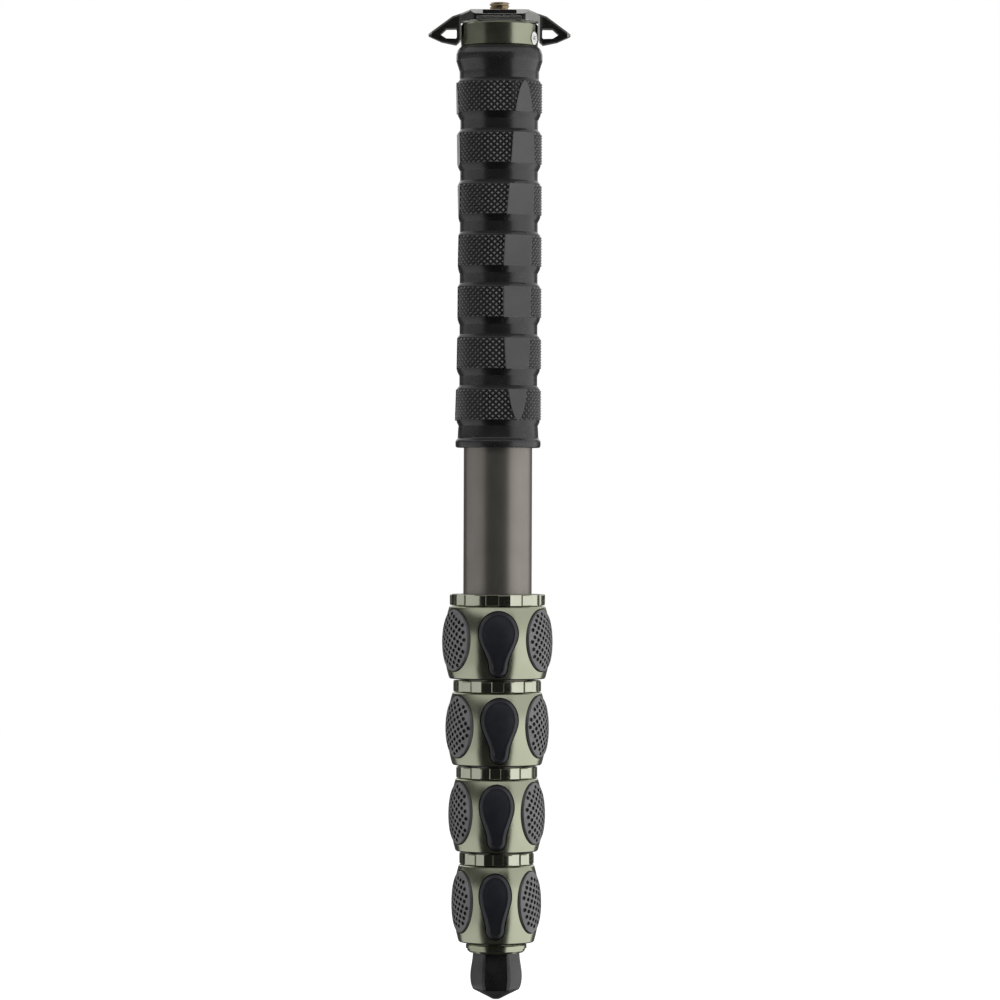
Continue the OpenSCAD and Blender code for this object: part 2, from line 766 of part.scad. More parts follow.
// Half outline of the foot from its tip to a height, for the given half widths and number of steps
function foot_half(tip, wide, top, high, steps) = concat(
    [[tip, 0], [wide * foot_shoulder, foot_point_h]],
    [for (k = [1:steps]) let (t = 90 * k / steps) [
        wide * (foot_shoulder + (1 - foot_shoulder) * sin(t)),
        foot_point_h + (foot_wide_z - foot_point_h) * (1 - cos(t))
    ]],
    [for (k = [1:steps]) let (u = k / steps) [
        top + (wide - top) * (1 - u) * (1 - u) * (1 + 2 * u),
        foot_wide_z + (high - foot_wide_z) * u
    ]]
);
module foot() {
    low_of_collar = foot_h - run_gap;
    flats = foot_half(foot_tip_r, foot_flat_r, foot_top_r, foot_h, 6);
    corner_top_r = foot_corner_r + foot_top_r - foot_flat_r;
    corners = foot_half(foot_tip_r * foot_tip_grow, foot_corner_r, corner_top_r, low_of_collar, 7);
    color(rubber_black) difference() {
        rotate_extrude() polygon(concat([[0, 0]], corners, [[0, low_of_collar]]));
        for (a = [0, 60, 120]) rotate([0, 0, a]) rotate([90, 0, 90]) {
            linear_extrude(4 * foot_corner_r, center = true) difference() {
                translate([-2 * foot_corner_r, -over]) square([4 * foot_corner_r, foot_h + 2 * over]);
                polygon(concat(flats, [[foot_top_r, 2 * foot_h], [-foot_top_r, 2 * foot_h]], flipped(flats), [
                    [-foot_tip_r, -2 * over],
                    [foot_tip_r, -2 * over]
                ]));
            }
        }
        translate([0, 0, foot_h - stud_in_foot]) cylinder(h = stud_in_foot + over, r = stud_d / 2 + bond);
    }
}

head_plate();
camera_screw();
head_collar();
collar_set_screw();
head_plug();
handle_grip();
tube(1);  // tube_1
tube(2);  // tube_2
tube(3);  // tube_3
tube(4);  // tube_4
tube(5);  // tube_5
lock_sleeve(1);  // lock_sleeve_1
lock_sleeve(2);  // lock_sleeve_2
lock_sleeve(3);  // lock_sleeve_3
lock_sleeve(4);  // lock_sleeve_4
lock_ring(1);  // lock_ring_1
lock_ring(2);  // lock_ring_2
lock_ring(3);  // lock_ring_3
lock_ring(4);  // lock_ring_4
lock_body(1);  // lock_body_1
lock_body(2);  // lock_body_2
lock_body(3);  // lock_body_3
lock_body(4);  // lock_body_4
oval_pads(1);  // oval_pads_1
oval_pads(2);  // oval_pads_2
oval_pads(3);  // oval_pads_3
oval_pads(4);  // oval_pads_4
bulb_pads(1);  // bulb_pads_1
bulb_pads(2);  // bulb_pads_2
bulb_pads(3);  // bulb_pads_3
bulb_pads(4);  // bulb_pads_4
collet(1);  // collet_1
collet(2);  // collet_2
collet(3);  // collet_3
collet(4);  // collet_4
dust_seal(1);  // dust_seal_1
dust_seal(2);  // dust_seal_2
dust_seal(3);  // dust_seal_3
dust_seal(4);  // dust_seal_4
guide_shims(2);  // guide_shims_2
guide_shims(3);  // guide_shims_3
guide_shims(4);  // guide_shims_4
guide_shims(5);  // guide_shims_5
end_plug(2);  // end_plug_2
end_plug(3);  // end_plug_3
end_plug(4);  // end_plug_4
end_plug(5);  // end_plug_5
foot_collar();
foot_insert();
foot_stud();
foot();
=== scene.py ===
# %% [markdown]
# # A telescoping camera monopod
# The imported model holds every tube, lock and screw at its estimated size and in its place. It is loaded first and
# stays fixed. Everything below only dresses it: rubber with its moulded pattern, bevelled metal, finishes and light.
# All lengths are in metres, so millimetres are written as a number times MM.

# %% Load the frame
import math

import bmesh
import bpy
from bmesh.types import BMEdge, BMFace, BMVert
from mathutils import Matrix, Vector


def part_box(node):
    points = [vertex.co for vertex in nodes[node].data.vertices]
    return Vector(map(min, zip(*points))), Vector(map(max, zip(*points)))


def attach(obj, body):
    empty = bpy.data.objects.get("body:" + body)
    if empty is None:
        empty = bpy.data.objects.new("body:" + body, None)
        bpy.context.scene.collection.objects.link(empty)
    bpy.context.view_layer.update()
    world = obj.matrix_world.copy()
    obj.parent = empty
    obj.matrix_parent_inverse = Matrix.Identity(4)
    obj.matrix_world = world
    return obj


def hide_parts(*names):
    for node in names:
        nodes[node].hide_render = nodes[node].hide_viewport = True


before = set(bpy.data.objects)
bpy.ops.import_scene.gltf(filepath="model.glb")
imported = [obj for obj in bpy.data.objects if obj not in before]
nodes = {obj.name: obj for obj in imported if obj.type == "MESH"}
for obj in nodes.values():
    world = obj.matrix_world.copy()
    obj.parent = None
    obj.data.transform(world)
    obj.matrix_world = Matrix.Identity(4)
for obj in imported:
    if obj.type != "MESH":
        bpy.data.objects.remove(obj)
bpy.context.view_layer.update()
MM = 0.001
LOCKS = (1, 2, 3, 4)
CUT_DIST = 1e-7
SAME_PLACE = 1e-6

# %% [markdown]
# ## The camera
# The photograph was taken with a long lens from the middle of the monopod's height, so the top is seen a
# little from below and the foot a little from above. One pixel stands for a fixed length at the pole's axis, and
# the lens follows from the distance. A very small roll gives the pole its slight lean.

# %% Camera
PHOTO_PX = 1000
PX = 0.468 * MM
FOCAL_PX = 4750
FOOT_ROW = 998.7
AXIS_COLUMN = 497.8
LEAN = math.radians(0.21)
middle = PHOTO_PX / 2
lens = bpy.data.cameras.new("photo_lens")
lens.sensor_width = 36
lens.lens = lens.sensor_width * FOCAL_PX / PHOTO_PX
lens.clip_end = 50
camera = bpy.data.objects.new("photo_camera", lens)
camera.location = ((middle - AXIS_COLUMN) * PX, -FOCAL_PX * PX, (FOOT_ROW - middle) * PX)
camera.rotation_euler = (math.pi / 2, -LEAN, 0)
bpy.context.scene.collection.objects.link(camera)
bpy.context.scene.camera = camera
print(f"camera: {lens.lens:.0f} mm lens, {FOCAL_PX * PX:.2f} m away")

# %% [markdown]
# ## Shared shader groups
# Four effects are node groups, made once and placed in the finishes. *Fine grain* is the tooth of a blasted or
# moulded surface with slow cloudy changes under it. *Turned lines* are the fine rings that a lathe leaves, so
# they depend only on height. *Handling dust* is the pale bloom that gathers on rubber. *Crest wear and painted
# light* shades a pattern by distance from the axis: the crests, where a hand rubs a pattern pale, turn pale as
# wear and as painted highlight, and the hollows go near black as painted shade.

# %% Group helpers
def new_group(name, inputs, outputs):
    group = bpy.data.node_groups.new(name, "ShaderNodeTree")
    for label, value in inputs:
        socket = group.interface.new_socket(label, in_out="INPUT", socket_type="NodeSocketFloat")
        socket.default_value = value
    for label in outputs:
        group.interface.new_socket(label, in_out="OUTPUT", socket_type="NodeSocketFloat")
    return group, group.nodes.new("NodeGroupInput"), group.nodes.new("NodeGroupOutput")


def add_node(tree, kind, values=None, **settings):
    node = tree.nodes.new(kind)
    for key, value in settings.items():
        setattr(node, key, value)
    for socket, value in (values or {}).items():
        node.inputs[socket].default_value = value
    return node


def link(tree, source, target):
    tree.links.new(source, target)


# %% Fine grain
grain, grain_in, grain_out = new_group("fine_grain", [("Scale", 4000.0), ("Cloud Scale", 90.0)], ["Height", "Cloud"])
grain_at = add_node(grain, "ShaderNodeTexCoord")
tooth = add_node(grain, "ShaderNodeTexNoise", {"Detail": 3.0})
cloud = add_node(grain, "ShaderNodeTexNoise", {"Detail": 4.0})
spread = add_node(grain, "ShaderNodeMapRange", {"From Min": 0.3, "From Max": 0.7})
for texture, socket in ((tooth, "Scale"), (cloud, "Cloud Scale")):
    link(grain, grain_at.outputs["Object"], texture.inputs["Vector"])
    link(grain, grain_in.outputs[socket], texture.inputs["Scale"])
link(grain, tooth.outputs["Fac"], grain_out.inputs["Height"])
link(grain, cloud.outputs["Fac"], spread.inputs["Value"])
link(grain, spread.outputs["Result"], grain_out.inputs["Cloud"])
print("group:", grain.name)

# %% Turned lines
turned, turned_in, turned_out = new_group("turned_lines", [("Lines", 9000.0)], ["Height", "Streak"])
turned_at = add_node(turned, "ShaderNodeTexCoord")
height_of = add_node(turned, "ShaderNodeSeparateXYZ")
ring_place = add_node(turned, "ShaderNodeMath", operation="MULTIPLY")
ring_noise = add_node(turned, "ShaderNodeTexNoise", {"Scale": 1.0, "Detail": 2.0}, noise_dimensions="1D")
broad_place = add_node(turned, "ShaderNodeMath", {1: 0.12}, operation="MULTIPLY")
broad_noise = add_node(turned, "ShaderNodeTexNoise", {"Scale": 1.0}, noise_dimensions="1D")
link(turned, turned_at.outputs["Object"], height_of.inputs[0])
link(turned, height_of.outputs["Z"], ring_place.inputs[0])
link(turned, turned_in.outputs["Lines"], ring_place.inputs[1])
link(turned, ring_place.outputs[0], ring_noise.inputs["W"])
link(turned, ring_place.outputs[0], broad_place.inputs[0])
link(turned, broad_place.outputs[0], broad_noise.inputs["W"])
link(turned, ring_noise.outputs["Fac"], turned_out.inputs["Height"])
link(turned, broad_noise.outputs["Fac"], turned_out.inputs["Streak"])
print("group:", turned.name)

# %% Handling dust
dust, dust_in, dust_out = new_group("handling_dust", [("Scale", 160.0), ("Amount", 0.5)], ["Bloom"])
dust_at = add_node(dust, "ShaderNodeTexCoord")
patches = add_node(dust, "ShaderNodeTexNoise", {"Detail": 6.0, "Roughness": 0.6})
thin = add_node(dust, "ShaderNodeMapRange", {"From Min": 0.42, "From Max": 0.78})
amount = add_node(dust, "ShaderNodeMath", operation="MULTIPLY")
link(dust, dust_at.outputs["Object"], patches.inputs["Vector"])
link(dust, dust_in.outputs["Scale"], patches.inputs["Scale"])
link(dust, patches.outputs["Fac"], thin.inputs["Value"])
link(dust, thin.outputs["Result"], amount.inputs[0])
link(dust, dust_in.outputs["Amount"], amount.inputs[1])
link(dust, amount.outputs[0], dust_out.inputs["Bloom"])
print("group:", dust.name)

# %% Crest wear
crest, crest_in, crest_out = new_group("crest_wear_and_painted_light", [("Low", 0.0), ("High", 1.0)], ["Wear"])
crest_at = add_node(crest, "ShaderNodeTexCoord")
level = add_node(crest, "ShaderNodeVectorMath", {1: (1, 1, 0)}, operation="MULTIPLY")
from_axis = add_node(crest, "ShaderNodeVectorMath", operation="LENGTH")
rub_and_light = add_node(crest, "ShaderNodeMapRange")
link(crest, crest_at.outputs["Object"], level.inputs[0])
link(crest, level.outputs["Vector"], from_axis.inputs[0])
link(crest, from_axis.outputs["Value"], rub_and_light.inputs["Value"])
link(crest, crest_in.outputs["Low"], rub_and_light.inputs["From Min"])
link(crest, crest_in.outputs["High"], rub_and_light.inputs["From Max"])
link(crest, rub_and_light.outputs["Result"], crest_out.inputs["Wear"])
print("group:", crest.name)

# %% [markdown]
# ## Finishes
# Two recipes cover the whole object. A *metal* takes its tint from the cloud of the grain, its sheen from a
# roughness that wanders a little, and a very shallow bump. A *rubber* is dark, with the same grain and a breath
# of pale bloom, or instead with crests made pale by wear and painted highlight over hollows darkened as painted
# shade. What stays the same all over a surface is set on the shader itself.

# %% Recipes
def start_material(name):
    material = bpy.data.materials.new(name)
    material.use_nodes = True
    return material, material.node_tree, material.node_tree.nodes["Principled BSDF"]


def place_group(tree, group, **values):
    node = tree.nodes.new("ShaderNodeGroup")
    node.node_tree = group
    for label, value in values.items():
        node.inputs[label.replace("_", " ")].default_value = value
    return node


def tint(tree, factor, dark, light, shader):
    ramp = tree.nodes.new("ShaderNodeValToRGB")
    ramp.color_ramp.elements[0].color = (*dark, 1)
    ramp.color_ramp.elements[1].color = (*light, 1)
    link(tree, factor, ramp.inputs["Fac"])
    link(tree, ramp.outputs["Color"], shader.inputs["Base Color"])


def wander(tree, factor, low, high, socket):
    spread = add_node(tree, "ShaderNodeMapRange", {"To Min": low, "To Max": high})
    link(tree, factor, spread.inputs["Value"])
    link(tree, spread.outputs["Result"], socket)


def relief(tree, height, shader, depth, strength):
    bump = add_node(tree, "ShaderNodeBump", {"Distance": depth, "Strength": strength})
    link(tree, height, bump.inputs["Height"])
    link(tree, bump.outputs["Normal"], shader.inputs["Normal"])


def metal(name, dark, light, rough, metallic=1.0, lines=None, depth=0.01 * MM):
    material, tree, shader = start_material(name)
    shader.inputs["Metallic"].default_value = metallic
    coat = place_group(tree, grain, Scale=5200.0, Cloud_Scale=70.0)
    height, sheen = coat.outputs["Height"], coat.outputs["Cloud"]
    if lines:
        rings = place_group(tree, turned, Lines=lines)
        height, sheen = rings.outputs["Height"], rings.outputs["Streak"]
    tint(tree, coat.outputs["Cloud"], dark, light, shader)
    wander(tree, sheen, *rough, shader.inputs["Roughness"])
    relief(tree, height, shader, depth=depth, strength=0.35)
    return material


def rubber(name, dark, light, rough, bloom=0.5, gloss=0.45, worn_and_lit_crests=None, depth=0.03 * MM):
    material, tree, shader = start_material(name)
    shader.inputs["Specular IOR Level"].default_value = gloss
    skin = place_group(tree, grain, Scale=2600.0, Cloud_Scale=120.0)
    if worn_and_lit_crests:
        pale = place_group(tree, crest, Low=worn_and_lit_crests[0], High=worn_and_lit_crests[1]).outputs["Wear"]
    else:
        pale = place_group(tree, dust, Scale=140.0, Amount=bloom).outputs["Bloom"]
    tint(tree, pale, dark, light, shader)
    wander(tree, skin.outputs["Cloud"], *rough, shader.inputs["Roughness"])
    relief(tree, skin.outputs["Height"], shader, depth=depth, strength=0.4)
    return material


# %% Metals
olive_satin = metal("olive_satin", (0.50, 0.52, 0.385), (0.54, 0.56, 0.42), (0.18, 0.25), depth=0.012 * MM)
olive_polish = metal("olive_polish", (0.60, 0.62, 0.49), (0.66, 0.68, 0.55), (0.09, 0.15), lines=6000.0)
gunmetal = metal("gunmetal", (0.36, 0.366, 0.345), (0.42, 0.427, 0.403), (0.13, 0.21))
tube_coat = metal("tube_coat", (0.27, 0.252, 0.226), (0.30, 0.28, 0.253), (0.31, 0.37), metallic=0.85, lines=5200.0)
screw_brass = metal("screw_brass", (0.60, 0.50, 0.36), (0.70, 0.60, 0.45), (0.14, 0.26))
bare_steel = metal("bare_steel", (0.60, 0.60, 0.59), (0.68, 0.68, 0.67), (0.20, 0.32), lines=7000.0)
turned_alloy = metal("turned_alloy", (0.55, 0.55, 0.54), (0.66, 0.66, 0.65), (0.28, 0.42), lines=3600.0)
# painted shade: the lock sleeves are made black so that the gap below each lock reads dark
sleeve_painted_shade = metal("sleeve_painted_shade", (0.03, 0.03, 0.03), (0.05, 0.05, 0.05), (0.35, 0.45), lines=3600.0)
pale_zinc_and_painted_glint = metal("pale_zinc_and_painted_glint", (0.78, 0.78, 0.76), (0.86, 0.86, 0.84), (0.36, 0.46), metallic=0.2)
print("metals: 9")

# %% Rubbers and nylon
grip_rubber = rubber("grip_rubber", (0.012, 0.012, 0.0123), (0.026, 0.026, 0.0264), (0.22, 0.30), gloss=0.8)
# painted sheen: the panels are the grip's own rubber, made paler to stand for the sheen of the right-hand light
panel_rubber_painted_sheen = rubber("panel_rubber_painted_sheen", (0.038, 0.038, 0.0374), (0.056, 0.056, 0.0552), (0.30, 0.38), 0.4, gloss=0.8)
dimple_rubber = rubber("dimple_rubber", (0.120, 0.117, 0.119), (0.185, 0.181, 0.182), (0.30, 0.40), gloss=0.7)
bulb_rubber = rubber("bulb_rubber", (0.014, 0.015, 0.020), (0.026, 0.027, 0.033), (0.30, 0.40), gloss=0.6)
# this black is the dust seals' own rubber, and also painted shade in the pad pockets, the pits and the barrels' lower
# chamfer
seal_rubber = rubber("seal_rubber", (0.008, 0.008, 0.008), (0.02, 0.02, 0.02), (0.55, 0.65))
foot_rubber = rubber("foot_rubber", (0.010, 0.010, 0.010), (0.020, 0.020, 0.020), (0.22, 0.32), gloss=0.65)
black_nylon = rubber("black_nylon", (0.012, 0.012, 0.013), (0.024, 0.024, 0.025), (0.40, 0.52), bloom=0.3)
print("rubbers and nylon: 7")

# %% [markdown]
# ## Nodes that keep their own mesh
# Tubes, collars and the hidden pieces inside the locks are turned parts whose solids are already exact, so
# they only need a finish.

# %% Dress the kept nodes
# the lock sleeves' black is painted shade for the gap below each lock
FINISH_OF = {
    "tube": tube_coat, "lock_sleeve": sleeve_painted_shade, "collet": black_nylon, "dust_seal": seal_rubber,
    "guide_shims": black_nylon, "end_plug": black_nylon, "head_plug": black_nylon, "head_collar": olive_satin,
    "collar_set_screw": pale_zinc_and_painted_glint, "foot_collar": olive_satin, "foot_insert": turned_alloy, "foot_stud": bare_steel,
}


def dress(node, finish):
    mesh = nodes[node].data
    mesh.materials.clear()
    mesh.materials.append(finish)


dressed = 0
for name in nodes:
    family = name.rstrip("_12345")
    if family in FINISH_OF:
        dress(name, FINISH_OF[family])
        dressed += 1
print("dressed nodes:", dressed)

# %% [markdown]
# ## Putting a piece on the object
# Every new piece ends the same way: its mesh is stored, shaded smooth except over sharp edges, and tied to
# the body that carries it. A solid whose shape is right but whose edges are knife sharp is copied by `merged`,
# and `soften` rounds the sharp edges of the copy. The node itself is left alone.

# %% Finishing helpers
def new_object(bm, name):
    mesh = bpy.data.meshes.new(name)
    bm.to_mesh(mesh)
    bm.free()
    piece = bpy.data.objects.new(name, mesh)
    bpy.context.scene.collection.objects.link(piece)
    return piece


def put_on(bm, name, body, finishes, stands_for, sharp=32):
    piece = new_object(bm, name)
    mesh = piece.data
    for finish in finishes:
        mesh.materials.append(finish)
    mesh.shade_smooth()
    mesh.set_sharp_from_angle(angle=math.radians(sharp))
    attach(piece, body)
    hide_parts(stands_for)
    print(f"{name}: {len(mesh.polygons)} faces on {body}")


def everything(bm):
    return bm.verts[:] + bm.edges[:] + bm.faces[:]


def only(kind, geom):
    return [g for g in geom if isinstance(g, kind)]


def merged(node):
    bm = bmesh.new()
    bm.from_mesh(nodes[node].data)
    bmesh.ops.remove_doubles(bm, verts=bm.verts[:], dist=0.0005 * MM)
    bmesh.ops.dissolve_limit(bm, angle_limit=math.radians(1), verts=bm.verts[:], edges=bm.edges[:])
    return bm


def soften(bm, radius, steeper_than, segments=2, finish=-1, within=1.0):
    steep = math.radians(steeper_than)
    sharp = [e for e in bm.edges if len(e.link_faces) == 2 and e.calc_face_angle(0) > steep
             and all(abs(v.co.x) < within for v in e.verts)]
    bmesh.ops.bevel(bm, geom=sharp, offset=radius, offset_type="OFFSET", segments=segments, profile=0.5,
                    affect="EDGES", material=finish, clamp_overlap=True)
    return bm


def three_times(bm):
    first = everything(bm)
    for turn in (120, 240):
        copied = only(BMVert, bmesh.ops.duplicate(bm, geom=first)["geom"])
        bmesh.ops.rotate(bm, verts=copied, cent=(0, 0, 0), matrix=Matrix.Rotation(math.radians(turn), 3, "Z"))


# %% [markdown]
# ## The camera plate and the foot
# A small bevel catches a line of light along an edge, which is most of what the eye reads in the photograph.
# The foot has one on all its edges. On the middle of the plate the raised corners have a broad chamfer in front
# and behind; these chamfers and the middle's bevels that are not steep walls get a pale finish, a painted
# highlight along those edges. Each lug has a narrower chamfer along its upper edges; its lower edges and
# its window stay sharp.

# %% Plate and foot
CORNER_CHAMFER = 2.1 * MM
LUG_CHAMFER = 0.9 * MM
PLATE_BEVEL = 0.4 * MM
FOOT_BEVEL = 0.45 * MM
PALE_EDGE_HALF = 13.5 * MM
LEVEL = 0.3
STEEP = 0.6
PALE_EDGE_TILT = 0.25


def looks_up(face):
    return face.normal.z > LEVEL and abs(face.normal.y) < LEVEL


def looks_to_a_side(face):
    return abs(face.normal.y) > STEEP and abs(face.normal.z) < LEVEL


plate_top, plate_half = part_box("head_plate")[1].z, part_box("head_plate")[1].y
plate = merged("head_plate")
for side in (-1, 1):
    cut = bmesh.ops.bisect_plane(plate, geom=everything(plate), dist=CUT_DIST, clear_outer=True,
                                 plane_co=(0, side * (plate_half - CORNER_CHAMFER), plate_top),
                                 plane_no=Vector((0, side, 1)).normalized())["geom_cut"]
    for f in bmesh.ops.holes_fill(plate, edges=only(BMEdge, cut), sides=0)["faces"]:
        f.material_index = 1
# painted highlight: the pale second finish on the corner chamfers and middle bevels stands for bright edge light
soften(plate, PLATE_BEVEL, steeper_than=25, finish=1, within=PALE_EDGE_HALF)
lug_edges = [e for e in plate.edges if len(e.link_faces) == 2
             and any(looks_up(f) for f in e.link_faces) and any(looks_to_a_side(f) for f in e.link_faces)
             and all(abs(v.co.x) > PALE_EDGE_HALF for v in e.verts)]
bmesh.ops.bevel(plate, geom=lug_edges, offset=LUG_CHAMFER, offset_type="OFFSET", segments=1, profile=0.5,
                affect="EDGES", material=0, clamp_overlap=False)
for f in plate.faces:
    if abs(f.calc_center_median().x) > PALE_EDGE_HALF or abs(f.normal.z) < PALE_EDGE_TILT:
        f.material_index = 0
print("bare faces on the plate:", sum(f.material_index for f in plate.faces))
put_on(plate, "head_plate_milled", "upper_section", [gunmetal, pale_zinc_and_painted_glint], "head_plate", sharp=12)
foot = soften(merged("foot"), FOOT_BEVEL, steeper_than=14, segments=3)
put_on(foot, "foot_moulded", "foot_unit", [foot_rubber], "foot", sharp=12)

# %% [markdown]
# ## The camera screw
# A real screw thread is one tooth carried up a helix. Spin can do that: it turns the tooth's outline and
# lifts it a little at every step. Two planes then cut the thread to length, and the slotted end is a disc
# whose middle strip is pushed down. A flange and a shank, given as sides, radius, length and depth below the
# plate's top, carry it.

# %% Camera screw
screw_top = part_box("camera_screw")[1].z
SCREW_R = 9.525 / 2 * MM
THREAD_PITCH = 25.4 / 16 * MM
THREAD_DEPTH = 0.85 * MM
THREAD_STEPS = 48
CREST_R = SCREW_R - 0.1 * MM
ROOT_R = SCREW_R - THREAD_DEPTH
END_R = ROOT_R + 0.15 * MM
END_SKIRT = 1.2 * MM
END_FLARE = 1.06
FLANGE_AND_SHANK = [(64, 6.2 * MM, 1.6 * MM, 1 * MM), (32, 3.1 * MM, 14.6 * MM, 9 * MM)]
SLOT_W = 1.6 * MM
SLOT_D = 1.5 * MM


def thread(bm, low, high):
    turns = math.ceil((high - low) / THREAD_PITCH) + 2
    start = low - THREAD_PITCH
    outline = [(ROOT_R, 0), (CREST_R, 0.42), (CREST_R, 0.55), (ROOT_R, 0.95), (ROOT_R, 1)]
    verts = [bm.verts.new((r, 0, start + share * THREAD_PITCH)) for r, share in outline]
    edges = [bm.edges.new(pair) for pair in zip(verts, verts[1:])]
    bmesh.ops.spin(bm, geom=verts + edges, cent=(0, 0, 0), axis=(0, 0, 1), angle=math.tau * turns,
                   dvec=(0, 0, THREAD_PITCH / THREAD_STEPS), steps=THREAD_STEPS * turns)
    bmesh.ops.remove_doubles(bm, verts=bm.verts[:], dist=0.002 * MM)
    for height, side in ((low, -1), (high, 1)):
        bmesh.ops.bisect_plane(bm, geom=everything(bm), plane_co=(0, 0, height), plane_no=(0, 0, side),
                               clear_outer=True)


def slotted_end(bm, top):
    disc = bmesh.ops.create_circle(bm, cap_ends=True, segments=THREAD_STEPS, radius=END_R,
                                   matrix=Matrix.Translation((0, 0, top)))["verts"]
    rim = list({e for v in disc for e in v.link_edges})
    lowered = only(BMVert, bmesh.ops.extrude_edge_only(bm, edges=rim)["geom"])
    bmesh.ops.translate(bm, verts=lowered, vec=(0, 0, -END_SKIRT))
    bmesh.ops.scale(bm, verts=lowered, vec=(END_FLARE, END_FLARE, 1))
    lid = max((f for v in disc for f in v.link_faces), key=lambda f: len(f.verts))
    for side in (-1, 1):
        around = [lid] + list(lid.edges) + list(lid.verts)
        cut = bmesh.ops.bisect_plane(bm, geom=around, plane_co=(0, side * SLOT_W / 2, top), plane_no=(0, side, 0))
        lid = min(only(BMFace, cut["geom"]), key=lambda f: abs(f.calc_center_median().y))
    slot_floor = only(BMVert, bmesh.ops.extrude_face_region(bm, geom=[lid])["geom"])
    bmesh.ops.translate(bm, verts=slot_floor, vec=(0, 0, -SLOT_D))
    bmesh.ops.delete(bm, geom=[lid], context="FACES")


bm = bmesh.new()
thread(bm, low=plate_top - 0.1 * MM, high=screw_top - 0.25 * MM)
slotted_end(bm, screw_top)
for sides, radius, length, below in FLANGE_AND_SHANK:
    bmesh.ops.create_cone(bm, cap_ends=True, segments=sides, radius1=radius, radius2=radius, depth=length,
                          matrix=Matrix.Translation((0, 0, plate_top - below)))
put_on(bm, "camera_screw_threaded", "upper_section", [screw_brass], "camera_screw")

# %% [markdown]
# ## The rubber grip
# The grip is one moulding, but it is easier to make as three kinds of piece. A turned *core* has the two
# smooth cuffs and the floor of the grooves. Seven *bands* stand on it, covered in small diamonds, each broken
# by three smooth *panels* that run the length of the grip like thumb rests. The sleeve was pulled on with a
# slight twist, so the panels lean a few degrees over its upper half.

# %% Grip sizes
grip_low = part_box("handle_grip")[0].z
GRIP_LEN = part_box("handle_grip")[1].z - grip_low
TUBE_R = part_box("tube_1")[1].x
GRIP_R = TUBE_R + 4.2 * MM
GROOVE_R = TUBE_R + 2.2 * MM
BANDS = 7
BAND_LEN = 15.4 * MM
TOP_CUFF = 16.3 * MM
LOW_CUFF = 12.2 * MM
BAND_PITCH = (GRIP_LEN - TOP_CUFF - LOW_CUFF - BAND_LEN) / (BANDS - 1)
PANEL_DEPTH = 1.35 * MM
PANEL_HALF = 79 * MM
PANEL_TURN = math.radians(297.5)
SLEEVE_TWIST = math.radians(9)
TWIST_FROM = 15 * MM
TWIST_LEN = 65 * MM
grip_mid = grip_low + (LOW_CUFF + GRIP_LEN - TOP_CUFF) / 2
band_middles = [grip_low + LOW_CUFF + k * BAND_PITCH + BAND_LEN / 2 for k in range(BANDS)]


def panel_cut(v):
    return max(0.0, PANEL_DEPTH * (1 - (abs(v) / PANEL_HALF) ** 3))


def panel_half_width(v):
    return math.sqrt(GRIP_R ** 2 - (GRIP_R - panel_cut(v)) ** 2)


def ease(u):
    u = min(1.0, max(0.0, u))
    return u * u * (3 - 2 * u)


def twist(v):
    return SLEEVE_TWIST * ease((v + TWIST_FROM) / TWIST_LEN)


print(f"grip: {GRIP_LEN / MM:.1f} mm long, bands every {BAND_PITCH / MM:.1f} mm")

# %% Grip core
def turned_shape(bm, outline, steps=144):
    verts = [bm.verts.new((r, 0, z)) for r, z in outline]
    edges = [bm.edges.new(pair) for pair in zip(verts, verts[1:] + verts[:1])]
    bmesh.ops.spin(bm, geom=verts + edges, cent=(0, 0, 0), axis=(0, 0, 1), angle=math.tau, steps=steps,
                   use_merge=True)
    bmesh.ops.remove_doubles(bm, verts=bm.verts[:], dist=0.001 * MM)
    bmesh.ops.recalc_face_normals(bm, faces=bm.faces[:])


def round_rings(bm, radius, steeper_than, segments):
    rings = [e for e in bm.edges if abs(e.verts[0].co.z - e.verts[1].co.z) < CUT_DIST
             and e.calc_face_angle(0) > math.radians(steeper_than)]
    bmesh.ops.bevel(bm, geom=rings, offset=radius, offset_type="OFFSET", segments=segments, profile=0.5,
                    affect="EDGES", material=-1, clamp_overlap=True)


low, high = grip_low, grip_low + GRIP_LEN
inner = TUBE_R + 0.02 * MM
core_outline = [
    (inner, low), (GRIP_R - 0.9 * MM, low), (GRIP_R - 0.3 * MM, low + 0.6 * MM), (GRIP_R - 0.3 * MM, low + 3.2 * MM),
    (GROOVE_R + 0.7 * MM, low + 4.4 * MM), (GROOVE_R + 0.5 * MM, low + LOW_CUFF - 3.6 * MM),
    (GROOVE_R, low + LOW_CUFF + 1 * MM), (GROOVE_R, high - TOP_CUFF), (GROOVE_R + 0.4 * MM, high - TOP_CUFF + 1.9 * MM),
    (GROOVE_R + 0.4 * MM, high - 11.5 * MM), (GRIP_R - 0.5 * MM, high - 8 * MM), (GRIP_R, high - 6.6 * MM),
    (GRIP_R, high - 3.6 * MM), (GRIP_R - 0.7 * MM, high - 1.4 * MM), (GRIP_R - 2 * MM, high), (inner, high),
]
bm = bmesh.new()
turned_shape(bm, core_outline)
round_rings(bm, 0.45 * MM, steeper_than=12, segments=3)
put_on(bm, "grip_core", "upper_section", [grip_rubber], "handle_grip", sharp=50)

# %% [markdown]
# A band is laid out flat. A grid is poked, which puts a point in every cell, and the old grid lines are dissolved:
# what is left is a net of diamonds. Two slanting cuts end it at the panels and two straight ones at the grooves.
# Each diamond is raised to a small pyramid, and the sheet is rolled onto the grip and kept below the panels' flats.

